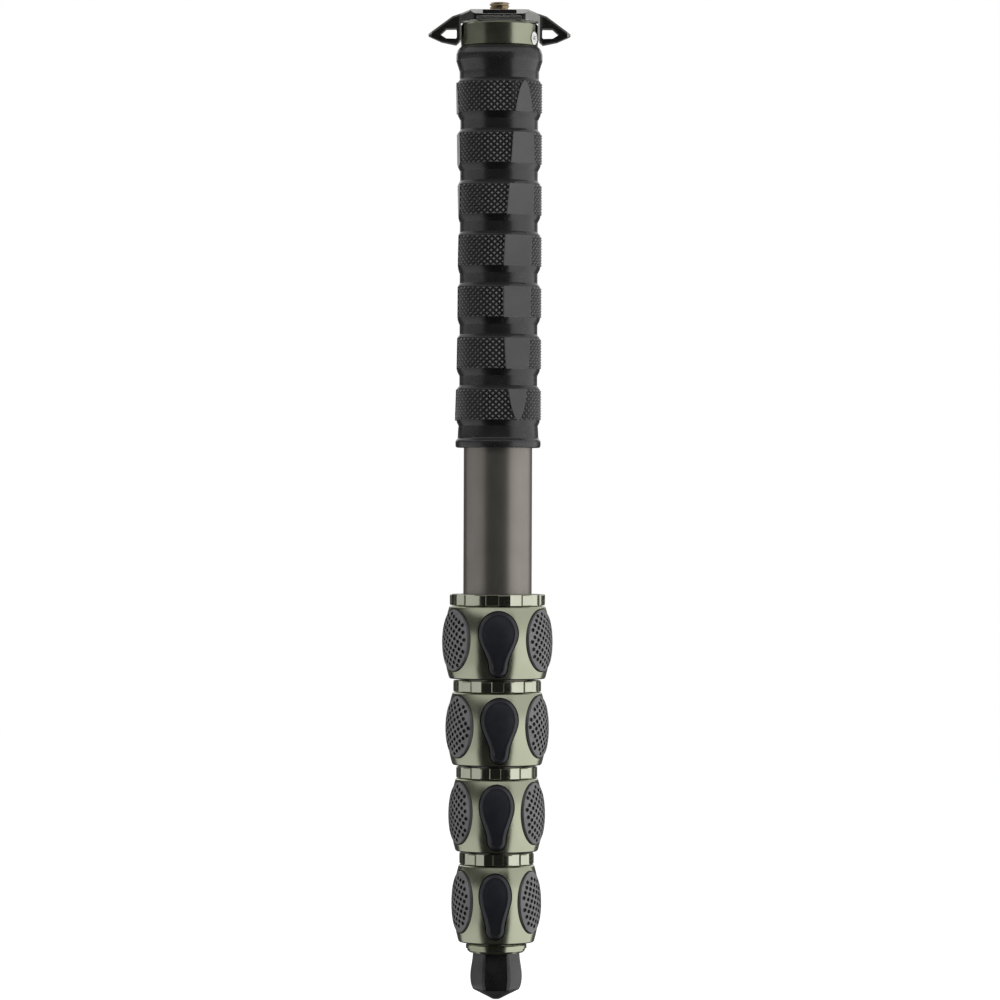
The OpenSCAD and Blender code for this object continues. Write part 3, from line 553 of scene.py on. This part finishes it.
# %% Grip bands
KNURL_U = 2.86 * MM
KNURL_V = 2.65 * MM
KNURL_RISE = 0.75 * MM
KNURL_FLOOR = 0.12 * MM
KNURL_LEAST = 0.3
BAND_EDGE = 0.5 * MM
BAND_LAP = 0.4 * MM
BAND_SKIRT = [(0.5 * MM, 0.9 * MM, 0.15 * MM), (1.9 * MM, 3 * MM, 1.5 * MM)]
PANEL_CLEARANCE = 0.12 * MM
FLAT_HALF = BAND_LEN / 2 - BAND_EDGE
TO_PANEL = math.radians(60)


def arc_half(v):
    return (TO_PANEL - math.asin(panel_half_width(v) / GRIP_R)) * GRIP_R + BAND_LAP


def diamond_net(bm, half_u, half_v):
    columns, rows = math.ceil(2 * half_u / KNURL_U), math.ceil(2 * half_v / KNURL_V)
    bmesh.ops.create_grid(bm, x_segments=columns, y_segments=rows, size=0.5)
    bmesh.ops.scale(bm, verts=bm.verts[:], vec=(columns * KNURL_U, rows * KNURL_V, 1))
    lines = bm.edges[:]
    bmesh.ops.poke(bm, faces=bm.faces[:])
    inside = [e for e in lines if len(e.link_faces) == 2]
    bmesh.ops.dissolve_edges(bm, edges=inside, use_verts=False)


def cut_sheet(bm, low_u, high_u):
    lean = (high_u - low_u) / (2 * FLAT_HALF)
    mid_u = (low_u + high_u) / 2
    for side in (-1, 1):
        for place, outward in (((side * mid_u, 0, 0), (side, -lean, 0)), ((0, side * FLAT_HALF, 0), (0, side, 0))):
            bmesh.ops.bisect_plane(bm, geom=everything(bm), dist=CUT_DIST, plane_co=place,
                                   plane_no=Vector(outward).normalized(), clear_outer=True)


def raise_diamonds(bm):
    whole = KNURL_U * KNURL_V / 2
    large = [f for f in bm.faces if f.calc_area() > KNURL_LEAST * whole]
    bmesh.ops.inset_individual(bm, faces=large, thickness=KNURL_FLOOR, depth=0, use_even_offset=True)
    bmesh.ops.poke(bm, faces=large, offset=KNURL_RISE)


def skirt(bm, steps):
    rim = [e for e in bm.edges if e.is_boundary]
    for up, down, drop in steps:
        grown = bmesh.ops.extrude_edge_only(bm, edges=rim)["geom"]
        for v in only(BMVert, grown):
            if v.co.y > FLAT_HALF - SAME_PLACE:
                v.co.y += up
            elif v.co.y < -FLAT_HALF + SAME_PLACE:
                v.co.y -= down
            v.co.z -= drop
        rim = only(BMEdge, grown)


def roll_up(bm, radius, turn, z):
    for v in bm.verts:
        along = z + v.co.y - grip_mid
        angle = turn + v.co.x / radius + twist(along)
        from_panel = TO_PANEL - abs(v.co.x) / radius
        reach = min(radius + v.co.z, (GRIP_R - panel_cut(along) - PANEL_CLEARANCE) / math.cos(from_panel))
        v.co = (reach * math.cos(angle), reach * math.sin(angle), z + v.co.y)


def pour(source, target):
    part = bpy.data.meshes.new("part")
    source.to_mesh(part)
    source.free()
    target.from_mesh(part)
    bpy.data.meshes.remove(part)


bands = bmesh.new()
for z in band_middles:
    low_u, high_u = arc_half(z - FLAT_HALF - grip_mid), arc_half(z + FLAT_HALF - grip_mid)
    bm = bmesh.new()
    diamond_net(bm, max(low_u, high_u), FLAT_HALF)
    cut_sheet(bm, low_u, high_u)
    raise_diamonds(bm)
    skirt(bm, BAND_SKIRT)
    roll_up(bm, GRIP_R - KNURL_RISE, PANEL_TURN + TO_PANEL, z)
    three_times(bm)
    pour(bm, bands)
# pale crests are part wear and part painted highlight; the near-black hollows between the diamonds are painted shade
knurl_rubber = rubber("knurl_rubber", (0.005, 0.005, 0.005), (0.17, 0.17, 0.17), (0.24, 0.32), gloss=0.8,
                      worn_and_lit_crests=(GRIP_R - 0.62 * MM, GRIP_R - 0.05 * MM))
put_on(bands, "grip_bands", "upper_section", [knurl_rubber], "handle_grip", sharp=28)

# %% [markdown]
# A panel is a long flat lens that is cut into the bands, so each band carries one piece of it. The piece is a
# grid whose rows stand where the band's outline bends. A point lies on the flat, or on the band's sloping end
# where that is lower. The flat therefore narrows as it runs down into a groove.

# %% Grip panels
SLOPE_LOW = [(-11.1, 2.4), (-9.6, 1.65), (-8.1, 0.9), (-7.25, 0.75)]
SLOPE_HIGH = [(7.25, 0.75), (7.7, 0.9), (8.6, 1.65), (9.6, 2.4)]
PANEL_ROWS = SLOPE_LOW + [(0.72 * k, 0) for k in range(-10, 11)] + SLOPE_HIGH
PANEL_COLUMNS = 24
PANEL_FLARE = 1.2 * MM
PANEL_WALL = 1.2 * MM
PANEL_RIM_DROP = 0.06 * MM


def panel_piece(z):
    bm = bmesh.new()
    last = len(PANEL_ROWS) - 1
    bmesh.ops.create_grid(bm, x_segments=PANEL_COLUMNS, y_segments=last, size=1)
    for f in bm.faces:
        row = int((f.calc_center_median().y + 1) / 2 * last)
        f.material_index = 0 if PANEL_ROWS[row][1] + PANEL_ROWS[row + 1][1] == 0 else 1
    for v in bm.verts:
        offset, drop = PANEL_ROWS[round((v.co.y + 1) / 2 * last)]
        along = z + offset * MM - grip_mid
        across = v.co.x * (panel_half_width(along) + (PANEL_FLARE if drop else 0))
        height = min(GRIP_R - panel_cut(along), math.sqrt((GRIP_R - drop * MM) ** 2 - across ** 2))
        v.co = (height - (PANEL_RIM_DROP if v.is_boundary else 0), across, z + offset * MM)
    bmesh.ops.remove_doubles(bm, verts=bm.verts[:], dist=0.004 * MM)
    wall = bmesh.ops.extrude_edge_only(bm, edges=[e for e in bm.edges if e.is_boundary])["geom"]
    bmesh.ops.translate(bm, verts=only(BMVert, wall), vec=(-PANEL_WALL, 0, 0))
    for v in bm.verts:
        v.co = Matrix.Rotation(PANEL_TURN + twist(v.co.z - grip_mid), 3, "Z") @ v.co
    return bm


bm = bmesh.new()
for z in band_middles:
    pour(panel_piece(z), bm)
three_times(bm)
# the panel flats carry the paler rubber as a painted sheen; their sloping ends keep the grip's rubber
put_on(bm, "grip_panels", "upper_section", [panel_rubber_painted_sheen, grip_rubber], "handle_grip", sharp=40)

# %% [markdown]
# ## The twist locks
# Each lock is a barrel of olive metal with a castellated ring above it. The ring's edges are broken with a
# fine bevel, so that each step shows as a bright line.

# %% Lock rings
RING_BEVEL = 0.14 * MM
for i in LOCKS:
    carrier = "upper_section" if i == 1 else f"section_{i}"
    ring = soften(merged(f"lock_ring_{i}"), RING_BEVEL, steeper_than=20)
    put_on(ring, f"lock_ring_{i}_polished", carrier, [olive_polish], f"lock_ring_{i}", sharp=14)

# %% [markdown]
# ## Pads on the locks
# Three oval pads and three bulb-shaped pads sit in each barrel. Both are drawn flat, as seen from straight in
# front, and then laid on the barrel: a point keeps its place across and up, and moves out until it meets the
# bulging surface.

# %% Barrel surface
LOCK_RIM = 6.4 * MM
LOCK_BULGE = 2.6 * MM
LOCK_TURN = {1: 1.2, 2: 3.2, 3: 0.0, 4: -1.6}
OVAL_FACES = 90
OVAL_ANGLE = 28
OVAL_HALF_H = 14.3 * MM
OVAL_Z = 18.1 * MM
OVAL_PROUD = 0.9 * MM
BULB_FACES = 30
BULB_ANGLE = 21.5
BULB_Z = 1.3 * MM
BULB_H = 30.4 * MM
BULB_CAP = 10.2 * MM
BULB_NECK = 4.8 * MM
BULB_END_W = 4.2 * MM
BULB_PROUD = 0.5 * MM
OVAL_SIDES = 56
BULB_TIP_TURNS = [math.radians(t) for t in range(9, 90, 18)]
BULB_CROWN_TURNS = [math.radians(t) for t in range(8, 90, 8)]
BULB_ROWS = 14
BODY_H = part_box("lock_body_1")[1].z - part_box("lock_body_1")[0].z


class Barrel:
    def __init__(self, i):
        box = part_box(f"lock_body_{i}")
        self.low, self.height = box[0].z, box[1].z - box[0].z
        self.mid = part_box(f"tube_{i}")[1].x + LOCK_RIM + LOCK_BULGE
        self.arc = (self.height ** 2 / 4 + LOCK_BULGE ** 2) / (2 * LOCK_BULGE)
        self.shift = (self.height - BODY_H) / 2
        self.turn = LOCK_TURN[i]

    def radius(self, z, proud):
        return self.mid - self.arc + math.sqrt((self.arc + proud) ** 2 - (z - self.height / 2) ** 2)

    def lay_on(self, bm, proud, direction):
        for v in bm.verts:
            reach = self.radius(v.co.y, proud) + v.co.z
            v.co = (math.sqrt(reach ** 2 - v.co.x ** 2), v.co.x, self.low + v.co.y)
        turn = math.radians(direction + self.turn)
        bmesh.ops.rotate(bm, verts=bm.verts[:], cent=(0, 0, 0), matrix=Matrix.Rotation(turn, 3, "Z"))


barrels = {i: Barrel(i) for i in LOCKS}
print("barrel radii:", [round(b.mid / MM, 1) for b in barrels.values()])

# %% [markdown]
# The barrel is turned from its outline, and its lower chamfer is painted black as painted shade, for the dark gap
# beside each ring. Each pad gets a pocket that is a hair wider than the pad: a cutter with the pad's outline is laid
# on the barrel and taken away from it. The pockets are painted black as painted shade too, and they show only as
# the thin dark line round each pad.

# %% Pad outlines
def oval_outline(barrel, grow):
    half_w, half_h = barrel.mid * math.sin(math.radians(OVAL_ANGLE)) + grow, OVAL_HALF_H + grow
    middle = barrel.shift + OVAL_Z
    turns = [math.tau * k / OVAL_SIDES for k in range(OVAL_SIDES)]
    return [(half_w * math.cos(t), middle + half_h * math.sin(t)) for t in turns]


def bulb_outline(barrel, grow):
    head, end = barrel.mid * math.sin(math.radians(BULB_ANGLE)) + grow, BULB_END_W + grow
    low = barrel.shift + BULB_Z
    neck, wide, cap = low + BULB_NECK, low + BULB_H - BULB_CAP, BULB_CAP + grow
    bottom = BULB_NECK + grow
    tip = [(end * math.sin(t), neck - bottom * math.cos(t)) for t in BULB_TIP_TURNS]
    sides = [(end + (head - end) * ease(k / BULB_ROWS), neck + (wide - neck) * k / BULB_ROWS)
             for k in range(BULB_ROWS + 1)]
    crown = [(head * math.cos(t), wide + cap * math.sin(t)) for t in BULB_CROWN_TURNS]
    half = tip + sides + crown
    return half + [(-x, y) for x, y in reversed(half)]


def ring_of_edges(bm, points, height):
    verts = [bm.verts.new((x, y, height)) for x, y in points]
    return [bm.edges.new(pair) for pair in zip(verts, verts[1:] + verts[:1])]


print("outline points:", OVAL_SIDES, len(bulb_outline(barrels[1], 0)))

# %% Lock barrels
PAD_GAP = 0.45 * MM
POCKET_DEPTH = 1.0 * MM
CUTTER_RISE = 2 * MM
BARREL_EDGE = 0.5 * MM
BARREL_ROWS = 30
BORE_GAP = 0.3 * MM


def pocket_cutter(barrel, outline, direction):
    bm = bmesh.new()
    loops = [ring_of_edges(bm, outline(barrel, PAD_GAP), height) for height in (-POCKET_DEPTH, CUTTER_RISE)]
    bmesh.ops.bridge_loops(bm, edges=loops[0] + loops[1])
    bmesh.ops.holes_fill(bm, edges=bm.edges[:], sides=0)
    bmesh.ops.recalc_face_normals(bm, faces=bm.faces[:])
    barrel.lay_on(bm, 0, direction)
    bmesh.ops.triangulate(bm, faces=[f for f in bm.faces if len(f.verts) > 4])
    three_times(bm)
    # painted shade: the pocket faces that the cutter leaves behind are black
    for f in bm.faces:
        f.material_index = 1
    return bm


def barrel_blank(i):
    barrel, edge = barrels[i], BARREL_EDGE
    lip, lip_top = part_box(f"tube_{i + 1}")[1].x + BORE_GAP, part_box(f"dust_seal_{i}")[0].z
    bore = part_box(f"lock_sleeve_{i}")[1].x + BORE_GAP
    rows = [edge + (barrel.height - 2 * edge) * k / BARREL_ROWS for k in range(BARREL_ROWS + 1)]
    side = [(barrel.radius(z, 0), barrel.low + z) for z in rows]
    low, high = barrel.low, barrel.low + barrel.height
    bm = bmesh.new()
    turned_shape(bm, [(lip, low), (side[0][0] - edge, low)] + side
                 + [(side[-1][0] - edge, high), (bore, high), (bore, lip_top), (lip, lip_top)], steps=180)
    # painted shade: the lower chamfer gets the black of material 1
    for f in bm.faces:
        out, z = f.calc_center_median().xy.length, f.calc_center_median().z
        f.material_index = int(out > bore and low + SAME_PLACE < z < low + edge)
    return bm


def barrel_with_pockets(i):
    barrel = barrels[i]
    blank = new_object(barrel_blank(i), "blank")
    cutters = [new_object(pocket_cutter(barrel, oval_outline, OVAL_FACES), "oval_cutter"),
               new_object(pocket_cutter(barrel, bulb_outline, BULB_FACES), "bulb_cutter")]
    for piece in [blank] + cutters:
        for finish in (olive_satin, seal_rubber):
            piece.data.materials.append(finish)
    for cutter in cutters:
        taken = blank.modifiers.new("pocket", "BOOLEAN")
        taken.operation = "DIFFERENCE"
        taken.solver = "EXACT"
        taken.object = cutter
    bpy.context.view_layer.update()
    done = blank.evaluated_get(bpy.context.evaluated_depsgraph_get())
    bm = bmesh.new()
    bm.from_mesh(done.data)
    for piece in [blank] + cutters:
        mesh = piece.data
        bpy.data.objects.remove(piece)
        bpy.data.meshes.remove(mesh)
    return bm


for i in LOCKS:
    put_on(barrel_with_pockets(i), f"lock_barrel_{i}", f"twist_lock_{i}", [olive_satin, seal_rubber],
           f"lock_body_{i}", sharp=24)

# %% [markdown]
# An oval pad starts as a poked grid that tangent planes cut to an ellipse. Every second grid point becomes a
# pit: its corner is beveled into an eight-sided face, and the face is pushed in. The pit's walls and floor are
# painted black as painted shade. A plain margin stays at the rim.

# %% Oval pads
DIMPLE_DX = 1.9 * MM
DIMPLE_DY = 1.75 * MM
DIMPLE_R = 1.06 * MM
DIMPLE_DEPTH = 0.5 * MM
DIMPLE_BEVEL = 0.12 * MM
DIMPLE_TAPER = 0.05 * MM
DIMPLE_MARGIN = 1.3 * MM
OVAL_ROUND = 0.25 * MM
OVAL_WALLS = [(0.3 * MM, OVAL_ROUND), (1.6 * MM, 0.0)]
ELLIPSE_DIST = 1e-8
DIMPLE_TURN = {1: 13, 2: -12, 3: 10, 4: 24}


def cut_to_ellipse(bm, half_w, half_h):
    for k in range(OVAL_SIDES):
        t = math.tau * k / OVAL_SIDES
        on_rim = Vector((half_w * math.cos(t), half_h * math.sin(t), 0))
        outward = Vector((math.cos(t) / half_w, math.sin(t) / half_h, 0)).normalized()
        bmesh.ops.bisect_plane(bm, geom=everything(bm), dist=ELLIPSE_DIST, plane_co=on_rim, plane_no=outward,
                               clear_outer=True)


def pit_corners(bm, half_w, half_h, turn):
    found = []
    for v in bm.verts:
        x, y, _ = Matrix.Rotation(-turn, 3, "Z") @ v.co
        column, row = round(x / DIMPLE_DX), round(y / DIMPLE_DY)
        on_grid = abs(x - column * DIMPLE_DX) < SAME_PLACE and abs(y - row * DIMPLE_DY) < SAME_PLACE
        inside = (v.co.x / (half_w - DIMPLE_MARGIN)) ** 2 + (v.co.y / (half_h - DIMPLE_MARGIN)) ** 2 < 1
        if on_grid and inside and (column + row) % 2 == 0:
            found.append(v)
    return found


def oval_pad(barrel, turn):
    half_w, half_h = barrel.mid * math.sin(math.radians(OVAL_ANGLE)), OVAL_HALF_H
    columns, rows = math.ceil(1.2 * half_h / DIMPLE_DX), math.ceil(1.2 * half_h / DIMPLE_DY)
    bm = bmesh.new()
    bmesh.ops.create_grid(bm, x_segments=2 * columns, y_segments=2 * rows, size=1)
    bmesh.ops.scale(bm, verts=bm.verts[:], vec=(columns * DIMPLE_DX, rows * DIMPLE_DY, 1))
    bmesh.ops.rotate(bm, verts=bm.verts[:], cent=(0, 0, 0), matrix=Matrix.Rotation(turn, 3, "Z"))
    bmesh.ops.poke(bm, faces=bm.faces[:])
    cut_to_ellipse(bm, half_w, half_h)
    bmesh.ops.remove_doubles(bm, verts=bm.verts[:], dist=0.03 * MM)
    pits = bmesh.ops.bevel(bm, geom=pit_corners(bm, half_w, half_h, turn), offset=DIMPLE_R, offset_type="OFFSET",
                           segments=1, profile=0.5, affect="VERTICES", material=-1)["faces"]
    bmesh.ops.inset_individual(bm, faces=pits, thickness=DIMPLE_BEVEL, depth=-DIMPLE_BEVEL, use_even_offset=True)
    walls = bmesh.ops.inset_individual(bm, faces=pits, thickness=DIMPLE_TAPER, depth=-DIMPLE_DEPTH,
                                       use_even_offset=True)
    # painted shade: the pit walls and floors are black
    for f in pits + walls["faces"]:
        f.material_index = 1
    rim = [e for e in bm.edges if e.is_boundary]
    for v in {v for e in rim for v in e.verts}:
        v.co *= 1 - OVAL_ROUND / v.co.length
    for drop, grow in OVAL_WALLS:
        rim = [e for e in bm.edges if e.is_boundary]
        wall = bmesh.ops.extrude_edge_only(bm, edges=rim)["geom"]
        for v in only(BMVert, wall):
            flat = Vector((v.co.x, v.co.y, 0))
            v.co += flat.normalized() * grow
            v.co.z -= drop
    bmesh.ops.translate(bm, verts=bm.verts[:], vec=(0, barrel.shift + OVAL_Z, 0))
    barrel.lay_on(bm, OVAL_PROUD, OVAL_FACES)
    three_times(bm)
    return bm


for i in LOCKS:
    pads = oval_pad(barrels[i], math.radians(DIMPLE_TURN[i]))
    put_on(pads, f"oval_pads_{i}_dimpled", f"twist_lock_{i}", [dimple_rubber, seal_rubber],
           f"oval_pads_{i}", sharp=30)

# %% [markdown]
# A bulb pad is built from rings: the same outline drawn again and again, each a little smaller, and bridged.
# They round the edge and raise a fine rim. One face closes the middle, and planes slice it both ways, so that it
# can bend with the barrel.

# %% Bulb pads
BULB_CELL = 1.3 * MM
BULB_RINGS = [(0, -1.6), (0, -0.3), (0.25, 0), (0.95, 0.02), (1.15, 0.2), (1.45, 0.2), (1.65, -0.05), (2.2, -0.1)]


def slice_both_ways(bm, face, step, reach):
    count = math.ceil(reach / step)
    geom = [face] + face.edges[:] + face.verts[:]
    for k in range(-count, count + 1):
        for across in (Vector((1, 0, 0)), Vector((0, 1, 0))):
            cut = bmesh.ops.bisect_plane(bm, geom=geom, dist=CUT_DIST, plane_co=across * (k * step), plane_no=across)
            geom = cut["geom"]


def bulb_pad(barrel):
    bm = bmesh.new()
    loops = [ring_of_edges(bm, bulb_outline(barrel, -shrink * MM), height * MM) for shrink, height in BULB_RINGS]
    for outer, inner in zip(loops, loops[1:]):
        bmesh.ops.bridge_loops(bm, edges=outer + inner)
    middle = bmesh.ops.contextual_create(bm, geom=loops[-1])["faces"][0]
    bmesh.ops.recalc_face_normals(bm, faces=bm.faces[:])
    if middle.normal.z < 0:
        bmesh.ops.reverse_faces(bm, faces=bm.faces[:])
    slice_both_ways(bm, middle, BULB_CELL, barrel.height)
    barrel.lay_on(bm, BULB_PROUD, BULB_FACES)
    three_times(bm)
    return bm


for i in LOCKS:
    put_on(bulb_pad(barrels[i]), f"bulb_pads_{i}_smooth", f"twist_lock_{i}", [bulb_rubber],
           f"bulb_pads_{i}", sharp=50)

# %% [markdown]
# ## Studio
# The photograph looks like a white surround with tall light panels at both sides, the right one brighter, and a
# dark room behind the camera: every tube has a dark stripe down its middle. The surround is white for the camera
# and for reflections. Curved cards that only reflections see stand before it. At eye level they are the dark
# room, the dimmer left panel, the flags that darken the edges of the metal and a dark strip behind. Above are
# the ceiling and its lid, and below is a table whose sides shine and whose front is dark. What no card covers,
# such as the lower part of the right side, stays white.

# %% Surround
def emission(name, value):
    material = bpy.data.materials.new(name)
    material.use_nodes = True
    tree = material.node_tree
    tree.nodes.clear()
    glow = add_node(tree, "ShaderNodeEmission", {"Color": (value, value, value, 1)})
    out = add_node(tree, "ShaderNodeOutputMaterial")
    link(tree, glow.outputs[0], out.inputs["Surface"])
    return material


world = bpy.data.worlds.new("white_surround")
world.use_nodes = True
world.cycles.sampling_method = "NONE"
bpy.context.scene.world = world
sky = world.node_tree
sky.nodes.clear()
rays = add_node(sky, "ShaderNodeLightPath")
seen = add_node(sky, "ShaderNodeMath", operation="MAXIMUM")
seen_all = add_node(sky, "ShaderNodeMath", operation="MAXIMUM")
white = add_node(sky, "ShaderNodeBackground", {"Color": (1, 1, 1, 1)})
fill = add_node(sky, "ShaderNodeBackground", {"Color": (0.2, 0.2, 0.2, 1)})
choose = add_node(sky, "ShaderNodeMixShader")
sky_out = add_node(sky, "ShaderNodeOutputWorld")
link(sky, rays.outputs["Is Camera Ray"], seen.inputs[0])
link(sky, rays.outputs["Is Glossy Ray"], seen.inputs[1])
link(sky, seen.outputs[0], seen_all.inputs[0])
link(sky, rays.outputs["Is Transmission Ray"], seen_all.inputs[1])
link(sky, seen_all.outputs[0], choose.inputs["Fac"])
link(sky, fill.outputs[0], choose.inputs[1])
link(sky, white.outputs[0], choose.inputs[2])
link(sky, choose.outputs[0], sky_out.inputs["Surface"])
print("surround:", world.name)

# %% Cards
NADIR, SLOPE, LOW, EYE = (0.05, -3.2), (2.0, -2.6), (3.0, -0.95), (3.0, 0.52)
TOP, CROWN, LID = (3.0, 1.5), (2.2, 2.6), (0.05, 3.2)
CARDS = [
    ("dark_room", -44, 38, LOW, TOP, 0.015), ("left_panel", -128, -44, LOW, EYE, 0.54),
    ("left_panel_high", -128, -44, EYE, TOP, 0.07), ("right_panel_high", 38, 132, EYE, TOP, 0.66),
    ("left_flag", -152, -128, LOW, TOP, 0.05), ("right_flag", 132, 150, LOW, TOP, 0.08),
    ("ceiling", -152, 150, TOP, CROWN, 0.68), ("lid", -180, 180, CROWN, LID, 0.18),
    ("back_low", 150, 208, LOW, EYE, 0.10), ("table_left", -140, -50, SLOPE, LOW, 0.70),
    ("table_front", -50, 38, SLOPE, LOW, 0.03), ("table_right", 38, 140, SLOPE, LOW, 0.95),
    ("table_back", 140, 220, SLOPE, LOW, 0.10), ("under", -180, 180, NADIR, SLOPE, 0.03),
]
CARD_STEPS = 24


def card(name, start, end, low, high, value):
    bm = bmesh.new()
    from_front = math.radians(start - 90)
    verts = [bm.verts.new((r * math.cos(from_front), r * math.sin(from_front), z)) for r, z in (low, high)]
    edge = bm.edges.new(verts)
    bmesh.ops.spin(bm, geom=verts + [edge], cent=(0, 0, 0), axis=(0, 0, 1), angle=math.radians(end - start),
                   steps=CARD_STEPS)
    piece = new_object(bm, name)
    piece.data.materials.append(emission(name, value))
    piece.visible_camera = False
    piece.visible_diffuse = False
    piece.visible_shadow = False
    piece.visible_transmission = False


for settings in CARDS:
    card(*settings)
print("cards:", len(CARDS))

# %% Floor and lamps
FLOOR_R = 2.5
FLOOR_DROP = 0.05 * MM
LAMP_HEIGHT, LAMP_DISTANCE, LAMP_SIZE = 0.35, 1.5, (0.7, 1.3)
AIM = Vector((0, 0, 0.25))
bm = bmesh.new()
bmesh.ops.create_circle(bm, cap_ends=True, segments=96, radius=FLOOR_R)
floor = new_object(bm, "floor")
floor_finish = bpy.data.materials.new("pale_floor")
floor_finish.use_nodes = True
tree = floor_finish.node_tree
tree.nodes.clear()
paint = add_node(tree, "ShaderNodeBsdfDiffuse", {"Color": (0.5, 0.5, 0.5, 1)})
paper = add_node(tree, "ShaderNodeEmission", {"Strength": 0.9})
both = add_node(tree, "ShaderNodeAddShader")
clear = add_node(tree, "ShaderNodeBsdfTransparent")
facing = add_node(tree, "ShaderNodeNewGeometry")
path = add_node(tree, "ShaderNodeLightPath")
for_camera = add_node(tree, "ShaderNodeMixShader")
one_sided = add_node(tree, "ShaderNodeMixShader")
out = add_node(tree, "ShaderNodeOutputMaterial")
link(tree, paint.outputs[0], both.inputs[0])
link(tree, paper.outputs[0], both.inputs[1])
link(tree, path.outputs["Is Camera Ray"], for_camera.inputs["Fac"])
link(tree, paint.outputs[0], for_camera.inputs[1])
link(tree, both.outputs[0], for_camera.inputs[2])
link(tree, facing.outputs["Backfacing"], one_sided.inputs["Fac"])
link(tree, for_camera.outputs[0], one_sided.inputs[1])
link(tree, clear.outputs[0], one_sided.inputs[2])
link(tree, one_sided.outputs[0], out.inputs["Surface"])
floor.data.materials.append(floor_finish)
floor.location.z = -FLOOR_DROP
floor.visible_glossy = False


def softbox(name, azimuth, watts):
    light = bpy.data.lights.new(name, "AREA")
    light.shape = "RECTANGLE"
    light.size, light.size_y = LAMP_SIZE
    light.energy = watts
    lamp = bpy.data.objects.new(name, light)
    a = math.radians(azimuth)
    lamp.location = (LAMP_DISTANCE * math.sin(a), -LAMP_DISTANCE * math.cos(a), LAMP_HEIGHT)
    lamp.rotation_euler = (AIM - lamp.location).to_track_quat("-Z", "Y").to_euler()
    lamp.visible_glossy = False
    bpy.context.scene.collection.objects.link(lamp)


softbox("right_panel", 74, 30)
softbox("left_panel", -76, 18)
print("lamps: 2")

# %% [markdown]
# ## Finish
# The scene uses the plain Standard view, so colours come out as they are written.

# %% View transform
bpy.context.scene.view_settings.view_transform = "Standard"
